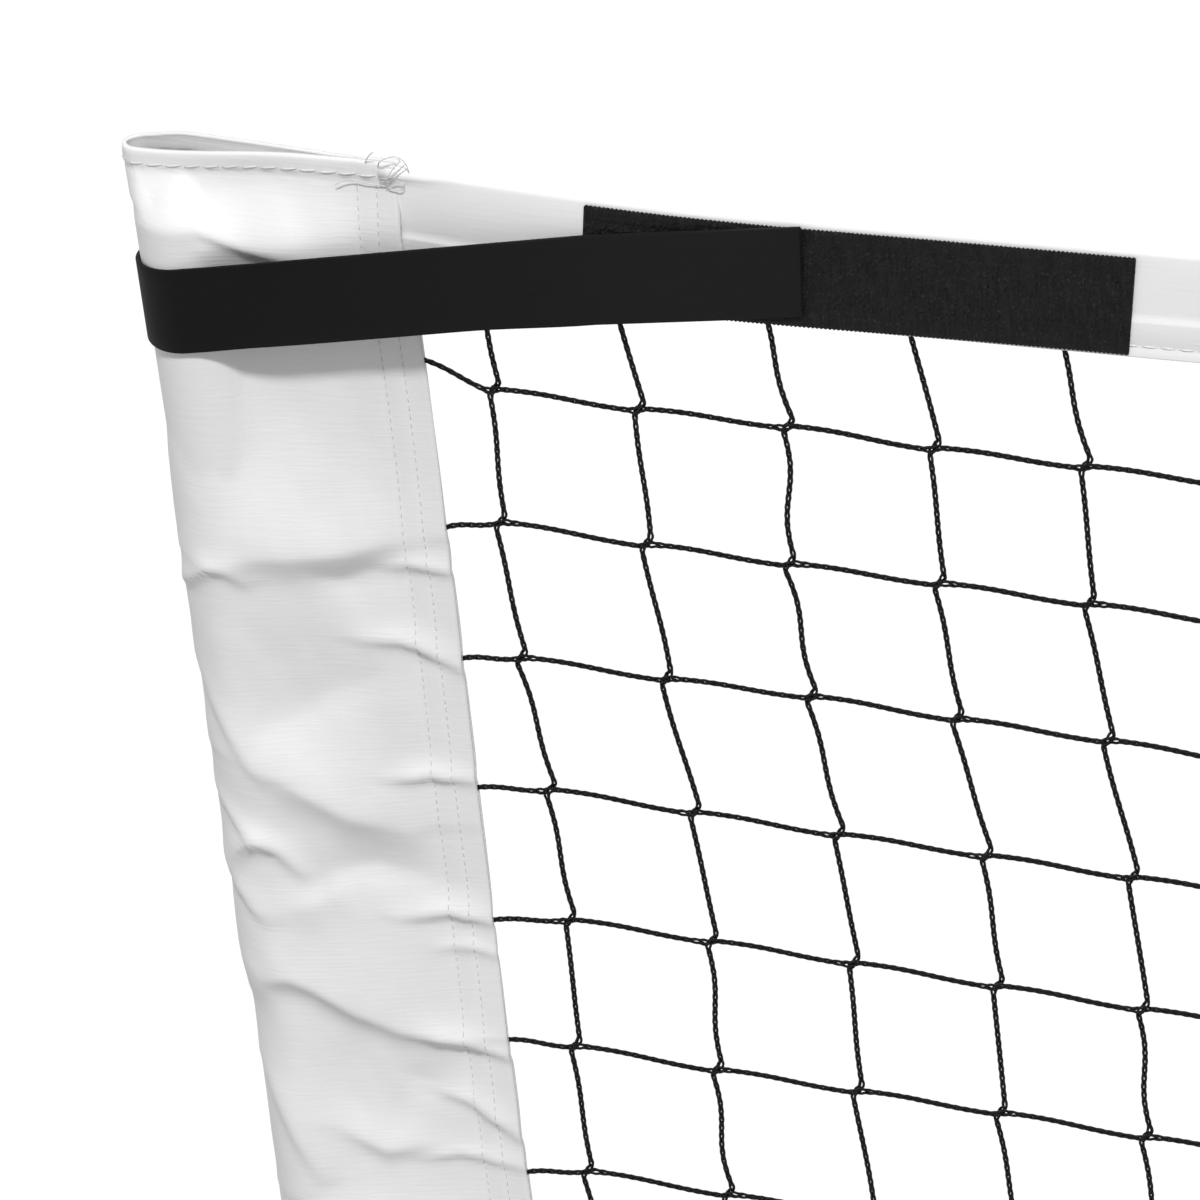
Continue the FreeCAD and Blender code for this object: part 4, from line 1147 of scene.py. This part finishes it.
def make_strap(sizes, name, side, level, rise, patch_face):
    """One strap, cut in its still back, which rides on the net's body, and its front, which stands in place
    of the strap's end.
    """
    spots, free = strap_route(sizes, patch_face)
    gone = lengths(spots)
    half, steps = sizes.strap_width / 2, 7
    outer, inner = [], []
    for index, place in enumerate(spots):
        before, after = beside(spots, index)
        forward = (after - before).normalized()
        normal = Vector((forward.y, -forward.x))
        height = level - rise * (gone[-1] - gone[index])
        around = math.exp(-((gone[index] - gone[free] + 45 * MM) / (45 * MM)) ** 2)
        lean = 0.085 * smooth((gone[index] - gone[free] + 12 * MM) / (40 * MM))
        lean *= smooth((gone[free + FREE_STEPS] - gone[index]) / (50 * MM))
        for rows, sign in ((outer, 1), (inner, -1)):
            row = []
            for step in range(steps):
                up = half * (2 * step / (steps - 1) - 1) * (1 - 0.11 * around) + 2.9 * MM * around
                spot = place + normal * (sign * sizes.strap_thickness / 2 + lean * (up + half))
                up += 20 * MM * lean
                cut = 3 * MM * (up / half - 1) / 2 * smooth((gone[index] - gone[-1] + 30 * MM) / (30 * MM))
                row.append(Vector((-side * (spot.x + cut - POST_X), spot.y, height + up)))
            rows.append(row)
    widths = [sizes.strap_width * step / (steps - 1) for step in range(steps)]
    skin = Skin()
    skin.rod([front + behind[::-1] for front, behind in zip(outer, inner)], gone,
             widths + [sizes.strap_width] + widths[::-1][1:] + [0.0])
    strap = skin.piece(name, "hook")
    face_outwards(strap)
    soften_edges(strap, 0.35 * MM, 2)
    behind = half_of(strap, name + "_behind", 1)
    front = half_of(strap, name + "_front", -1)
    bpy.data.objects.remove(strap)
    rest(behind, name + "_wrap", slot="hook_tape")
    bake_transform(front)
    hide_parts(name + "_end")


class NETDRESS_OT_straps(bpy.types.Operator):
    """Hook straps, each cut in a sewn back that stays and a front in place of its end"""
    bl_idname = "netdress.straps"
    bl_label = "Hook straps"

    def execute(self, context):
        sizes = context.scene.net_sizes
        upper = (PATCH_BOX[0].z + PATCH_BOX[1].z) / 2 + 5.5 * MM
        lower = (LOW_PATCH_BOX[0].z + LOW_PATCH_BOX[1].z) / 2
        on_tape, on_netting = tape_face(20 * MM, sizes) + 1.6 * MM, 4.2 * MM
        for name, side in SIDES:
            make_strap(sizes, name + "_upper_strap", side, upper, STRAP_SLOPE, on_tape)
            make_strap(sizes, name + "_lower_strap", side, lower, -STRAP_SLOPE, on_netting)
        return {"FINISHED"}


class NETDRESS_OT_patches(bpy.types.Operator):
    """Loop patches with a woven edge, a sewn line round them and a brushed face"""
    bl_idname = "netdress.patches"
    bl_label = "Loop patches"

    def execute(self, context):
        sizes = context.scene.net_sizes
        for name, side in SIDES:
            for level in ("upper", "lower"):
                self.patch(sizes, f"{name}_{level}_loop_patch", side, level == "upper")
        return {"FINISHED"}

    def patch(self, sizes, node, side, on_tape):
        low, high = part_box(node)
        lean = 5.6 * MM if on_tape else 1.5 * MM
        steps = 32
        outer, inner, along = [], [], []
        places = spread(low.x, high.x, 0.82 * MM)
        for number, across in enumerate(places):
            foot, height = low.z, high.z - low.z
            if on_tape:
                foot = tape_top(across, sizes.drop) - sizes.tape_height
                foot += 0.5 * MM + MM * smooth((POST_X - abs(across) - 200 * MM) / (150 * MM))
                height = tape_top(across, sizes.drop) - 3.6 * MM - foot
            from_end = min(number, len(places) - 1 - number)
            rows = ([], [])
            for step in range(steps + 1):
                share = step / steps
                from_edge = min(step, steps - step)
                pile = noise.noise(Vector((across * 900, 1, share * 30))) * 0.5 * MM
                pile += noise.noise(Vector((across * 260, 3, share * 9))) * 0.25 * MM
                pile -= 0.15 * MM * (number % 2)
                body = 1.55 * MM + pile
                if from_edge < 1 or from_end < 1:
                    body = 0.9 * MM
                elif from_edge in (4, 5):
                    body = 1.15 * MM + pile * 0.4
                elif from_edge < 4:
                    body = 1.4 * MM + pile * 0.6
                tooth = (0.5 * MM if number % 2 else 0.0) * (from_edge < 1)
                up = foot + height * share + (tooth if step else -tooth)
                x = across + side * lean * (1 - share)
                behind = high.y - 0.1 * MM
                if on_tape:
                    behind = -tape_face(height * share, sizes)
                rows[0].append(Vector((x, behind - body, up)))
                rows[1].append(Vector((x, behind, up)))
            outer.append(rows[0])
            inner.append(rows[1])
            along.append(across)
        skin = Skin()
        skin.wall(outer, inner, along, [(high.z - low.z) * step / steps for step in range(steps + 1)])
        patch = skin.piece(node + "_cloth", "pile", smooth=False)
        face_outwards(patch)
        rest(patch, node, slot="loop_pile")


class NETDRESS_OT_band(bpy.types.Operator):
    """Bottom band folded up round the netting's lower edge"""
    bl_idname = "netdress.band"
    bl_label = "Bottom band"

    def execute(self, context):
        sizes = context.scene.net_sizes
        low, high, fold = BAND_BOX[0].z + sizes.drop, 43 * MM, 2 * MM
        rows, along = [], []
        for across in spread(-TAPE_END - END_TUCK, TAPE_END + END_TUCK, 20 * MM):
            base = low - drop_at(across, sizes.drop)
            ends = smooth((abs(across) - TAPE_END + 25 * MM) / (25 * MM))
            leaf = sizes.tape_leaf + (0.5 * MM - sizes.tape_leaf) * ends
            half = [(leaf, base + high - (high - fold) * step / 6) for step in range(7)]
            half += [(leaf * math.cos(turn), base + fold - fold * math.sin(turn))
                     for turn in (math.pi / 2 * step / 4 for step in range(1, 5))]
            row = []
            for sign in (-1, 1):
                side = []
                for depth, height in half:
                    ripple = noise.noise(Vector((across * 9, sign, height * 20))) * 0.25 * MM * (depth > MM)
                    side.append(Vector((across, sign * (depth + ripple), height)))
                row.extend(side if sign < 0 else side[-2::-1])
            rows.append(row)
            along.append(across)
        widths = lengths(rows[0])
        skin = Skin()
        skin.strip(rows, False, along, widths)
        band = skin.piece("bottom_band_cloth", "webbing")
        thicken(band, sizes.sheet, -1)
        rest(band, "bottom_band", slot="black_webbing")
        return {"FINISHED"}


class NETDRESS_OT_pocket(bpy.types.Operator):
    """Pocket on the tape's back that the centre post goes into"""
    bl_idname = "netdress.pocket"
    bl_label = "Centre pocket"

    def execute(self, context):
        sizes = context.scene.net_sizes
        low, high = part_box("centre_pocket")
        post_low, post_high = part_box("centre_post")
        axis = (post_low.y + post_high.y) / 2
        radius = high.y - axis
        tape_low = NET_TOP - sizes.drop - sizes.tape_height
        wide = high.x
        foot = radius + 4 * MM
        steps = 48
        bulging = 0.62              # share of the width that stands off the tape
        rows = []
        along = spread(low.z, high.z - 1.5 * MM, 4 * MM) + [high.z - 0.8 * MM, high.z - 0.3 * MM, high.z]
        for height in along:
            near_top = max(0, 1 - (high.z - height) / (3 * MM))
            squeeze = 1 - 0.5 * near_top ** 2
            plate = tape_face(max(0, height - tape_low), sizes) + 1.1 * MM
            row = []
            for step in range(steps + 1):
                share = 2 * step / steps - 1
                if abs(share) > bulging:
                    part = (abs(share) - bulging) / (1 - bulging)
                    place = Vector((math.copysign(foot + (wide - foot) * part, share), plate))
                else:
                    angle = math.pi / 2 * (1 - share / bulging)
                    bulge = Vector((radius * math.cos(angle), axis + radius * max(math.sin(angle), 0)))
                    base = Vector((foot * share / bulging, plate))
                    hold = math.cos(math.pi / 2 * share / bulging) ** 0.55
                    place = base.lerp(bulge, min(1, hold * 1.15))
                depth = plate + (place.y - plate) * squeeze
                ripple = noise.noise(Vector((place.x * 50, height * 30, 7))) * 0.4 * MM
                row.append(Vector((place.x, depth + ripple, height)))
            rows.append(row)
        skin = Skin()
        skin.strip(rows, False, along, [wide * 2 * step / steps for step in range(steps + 1)])
        pocket = skin.piece("centre_pocket_cloth", "vinyl")
        thicken(pocket, 0.9 * MM, -1)
        face_outwards(pocket)
        rest(pocket, "centre_pocket", slot="white_vinyl")
        return {"FINISHED"}


class NETDRESS_OT_welds(bpy.types.Operator):
    """Weld beads where sockets and rail stubs meet the foot tubes"""
    bl_idname = "netdress.welds"
    bl_label = "Weld beads"

    def execute(self, context):
        sizes = context.scene.net_sizes
        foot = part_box("right_foot")
        foot_radius = foot[1].x - POST_X
        axis = foot[0].z + foot_radius
        socket = TUBE_RADIUS + sizes.socket_wall
        centre_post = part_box("centre_post")
        centre_socket = (centre_post[1].x - centre_post[0].x) / 2 + sizes.socket_wall
        centre_y = (centre_post[0].y + centre_post[1].y) / 2
        skin = Skin()
        for x, y, radius in ((-POST_X, 0, socket), (POST_X, 0, socket), (0, centre_y, centre_socket)):
            self.bead(skin, sizes, lambda turn: Vector((
                x + radius * math.cos(turn), y + radius * math.sin(turn),
                axis + math.sqrt(foot_radius ** 2 - (radius * math.cos(turn)) ** 2))))
        for x, side, wall in ((-POST_X, 1, socket), (POST_X, -1, socket), (0, 1, 0), (0, -1, 0)):
            self.bead(skin, sizes, lambda turn: Vector((
                x + side * max(math.sqrt(foot_radius ** 2 - (TUBE_RADIUS * math.sin(turn)) ** 2),
                               math.sqrt(max(0, wall ** 2 - (TUBE_RADIUS * math.cos(turn)) ** 2))
                               * (math.sin(turn) > 0)),
                TUBE_RADIUS * math.cos(turn), axis + TUBE_RADIUS * math.sin(turn))))
        beads = skin.piece("weld_beads", "powder")
        face_outwards(beads)
        rest(beads, slot="powder_coat")
        return {"FINISHED"}

    def bead(self, skin, sizes, place):
        """Ripple of weld along a closed line."""
        count = 150
        path = [place(2 * math.pi * step / count) for step in range(count + 1)]
        widths = [sizes.weld * (1 + 0.13 * math.sin(2 * math.pi * step / 3)) for step in range(count + 1)]
        skin.tube(path, widths, 8)


RAIL_LEAF_DEPTH = 28.6 * MM     # outside of a folded leaf, from its button's underside
LEAF_DEPTHS = {"upright": 32.1 * MM, "centre_post": 13.5 * MM}
LEAF_GAP = 0.3 * MM


class NETDRESS_OT_springs(bpy.types.Operator):
    """Folded leaf springs, one at each button that slides"""
    bl_idname = "netdress.springs"
    bl_label = "Leaf springs"

    def execute(self, context):
        sizes = context.scene.net_sizes
        for joint in frame["record"]["behaviour"]["joints"]:
            if joint["type"] == "slide":
                self.leaf(sizes, joint["child"], Vector(joint["axis"]))
        return {"FINISHED"}

    def leaf(self, sizes, button, press):
        low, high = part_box(button)
        base = (low + high) / 2 + press * abs((high - low).dot(press)) / 2
        along = Vector((0, 0, 1)) if abs(press.y) > 0.5 else Vector((-math.copysign(1, base.x), 0, 0))
        if "centre_arm" in button:
            along = -along
        depth = next((depth for post, depth in LEAF_DEPTHS.items() if post in button), RAIL_LEAF_DEPTH)
        half = sizes.leaf_thickness / 2
        near, far = LEAF_GAP + half, depth - half
        middle, bend, fold = (near + far) / 2, 1.2 * MM, 34 * MM
        line = [(5 * MM, near), (8 * MM, near + 0.5 * MM), (fold - bend, middle - bend)]
        line += [(fold + bend * math.sin(turn), middle - bend * math.cos(turn))
                 for turn in (math.pi * step / 6 for step in range(1, 6))]
        line += [(fold - bend, middle + bend), (-12 * MM, far)]
        bpy.ops.object.select_all(action="DESELECT")
        bpy.ops.mesh.primitive_plane_add(size=1, location=(-1.5 * MM, 0, -near))
        leaf = bpy.context.object
        leaf.name = leaf.data.name = button.replace("button", "spring")
        leaf.scale = (13 * MM, sizes.leaf_width, 1)
        bpy.ops.object.transform_apply(location=True, rotation=True, scale=True)
        bpy.ops.object.mode_set(mode="EDIT")
        bpy.ops.mesh.select_mode(type="EDGE")
        bpy.ops.mesh.select_all(action="DESELECT")
        shape = bmesh.from_edit_mesh(leaf.data)
        for edge in shape.edges:
            edge.select = all(corner.co.x > 4 * MM for corner in edge.verts)
        bmesh.update_edit_mesh(leaf.data)
        for (x0, down0), (x1, down1) in zip(line, line[1:]):
            bpy.ops.mesh.extrude_region_move(TRANSFORM_OT_translate={"value": (x1 - x0, 0, down0 - down1)})
        bpy.ops.object.mode_set(mode="OBJECT")
        thicken(leaf, sizes.leaf_thickness, 0)
        face_outwards(leaf)
        soften_edges(leaf, 0.12 * MM, 1)
        across = along.cross(press)
        rows = [(along[axis], across[axis], -press[axis], base[axis]) for axis in range(3)]
        leaf.data.transform(Matrix((*rows, (0, 0, 0, 1))))
        leaf.data.materials.append(finish("spring"))
        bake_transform(leaf)
        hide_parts("button_springs")


class NETDRESS_OT_frame(bpy.types.Operator):
    """Powder coat, plastic and steel on the frame's own pieces"""
    bl_idname = "netdress.frame"
    bl_label = "Frame finishes"

    def execute(self, context):
        slots = {part["node"]: part["material_slot"] for part in frame["record"]["subparts"]}
        looks = {"powder_coat": "powder", "moulded_plastic": "plastic", "button_steel": "plated",
                 "spring_steel": "spring"}
        for name, obj in NODES.items():
            look = looks.get(slots.get(name))
            if look:
                obj.data.materials.clear()
                obj.data.materials.append(finish(look))
        return {"FINISHED"}


class NETDRESS_OT_stage(bpy.types.Operator):
    """White floor, soft light and the camera"""
    bl_idname = "netdress.stage"
    bl_label = "Stage"

    def execute(self, context):
        scene = context.scene
        scene.view_settings.view_transform = "Standard"
        bpy.ops.mesh.primitive_plane_add(size=400, location=(0, 0, -0.5 * MM))
        floor = context.object
        floor.name = "floor"
        bpy.ops.object.transform_apply(location=True, rotation=True, scale=True)
        floor.data.materials.append(self.floor_paint())
        self.sky(scene)
        self.sun(scene, "key", 2.65, 7, (-0.24, 0.48, -0.848))
        self.sun(scene, "fill", 0.55, 60, (0.36, -0.9, -0.26))
        self.camera(scene)
        return {"FINISHED"}

    def sun(self, scene, name, energy, angle, way):
        light = bpy.data.lights.new(name, "SUN")
        light.energy = energy
        light.angle = math.radians(angle)
        lamp = bpy.data.objects.new(name, light)
        lamp.rotation_euler = Vector(way).to_track_quat("-Z", "Y").to_euler()
        scene.collection.objects.link(lamp)

    def seen(self, tree):
        """1 for rays that the camera sees straight, mirrored or through something."""
        path = tree.nodes.new("ShaderNodeLightPath").outputs
        either = maths(tree, "MAXIMUM", path["Is Camera Ray"], path["Is Glossy Ray"])
        return maths(tree, "MAXIMUM", either, path["Is Transmission Ray"])

    def floor_paint(self):
        """White to the eye with a soft shadow; greyer for the light that it throws back."""
        material, tree, shader = new_material("studio_floor", (0.5, 0.5, 0.5), 0.9)
        shader.inputs["Specular IOR Level"].default_value = 0.0
        seen = self.seen(tree)
        tint = blend_colours(tree, seen, (0.36, 0.36, 0.36, 1), (0.92, 0.92, 0.92, 1))
        glow = tree.nodes.new("ShaderNodeEmission")
        glow.inputs["Strength"].default_value = 1.05
        mix = tree.nodes.new("ShaderNodeMixShader")
        for source, target in ((tint, shader.inputs["Base Color"]),
                               (maths(tree, "MULTIPLY", seen, 0.65), mix.inputs[0]),
                               (shader.outputs[0], mix.inputs[1]), (glow.outputs[0], mix.inputs[2]),
                               (mix.outputs[0], tree.nodes["Material Output"].inputs["Surface"])):
            tree.links.new(source, target)
        return material

    def sky(self, scene):
        world = bpy.data.worlds.new("studio")
        scene.world = world
        world.use_nodes = True
        tree = world.node_tree
        back = tree.nodes["Background"]
        back.inputs["Color"].default_value = (1, 1, 1, 1)
        tree.links.new(maths(tree, "MULTIPLY_ADD", self.seen(tree), 0.64, 0.36), back.inputs["Strength"])

    def camera(self, scene):
        """At the photograph's angle, on the net's top left corner."""
        turn, rise, roll = math.radians(27.671), math.radians(31.505), math.radians(-7.483)
        back = Vector((math.sin(turn) * math.cos(rise), -math.cos(turn) * math.cos(rise), math.sin(rise)))
        right = Vector((math.cos(turn), math.sin(turn), 0))
        up = back.cross(right)
        across = math.cos(roll) * right + math.sin(roll) * up
        over = -math.sin(roll) * right + math.cos(roll) * up
        target, distance = Vector((-3.1893, 0, 0.7407)), 3.701
        data = bpy.data.cameras.new("camera")
        data.lens = 308.9
        data.sensor_width = 36
        data.clip_start = 0.05
        data.clip_end = 500
        camera = bpy.data.objects.new("camera", data)
        facing = Matrix((across, over, back)).transposed().to_4x4()
        camera.matrix_world = Matrix.Translation(target + distance * back) @ facing
        scene.collection.objects.link(camera)
        scene.camera = camera


STEPS = (NETDRESS_OT_stage, NETDRESS_OT_sleeves, NETDRESS_OT_tape, NETDRESS_OT_headline,
         NETDRESS_OT_patches, NETDRESS_OT_straps, NETDRESS_OT_netting, NETDRESS_OT_band,
         NETDRESS_OT_pocket, NETDRESS_OT_welds, NETDRESS_OT_springs, NETDRESS_OT_frame)


class NETDRESS_PT_panel(bpy.types.Panel):
    """Steps that dress the net"""
    bl_idname = "NETDRESS_PT_panel"
    bl_label = "Court Net"
    bl_space_type = "VIEW_3D"
    bl_region_type = "UI"
    bl_category = "Court Net"

    def draw(self, context):
        for step in STEPS:
            self.layout.operator(step.bl_idname)
        for group in (context.scene.net_sizes, context.scene.net_colours):
            for name in group.__annotations__:
                self.layout.prop(group, name)


CLASSES = (NetSizes, NetColours, *STEPS, NETDRESS_PT_panel)


def register():
    for item in CLASSES:
        bpy.utils.register_class(item)
    bpy.types.Scene.net_sizes = bpy.props.PointerProperty(type=NetSizes)
    bpy.types.Scene.net_colours = bpy.props.PointerProperty(type=NetColours)


def unregister():
    del bpy.types.Scene.net_sizes
    del bpy.types.Scene.net_colours
    for item in reversed(CLASSES):
        bpy.utils.unregister_class(item)


def main():
    bpy.ops.object.select_all(action="DESELECT")
    register()
    for step in STEPS:
        group, name = step.bl_idname.split(".")
        getattr(getattr(bpy.ops, group), name)()


if __name__ == "__main__":
    main()
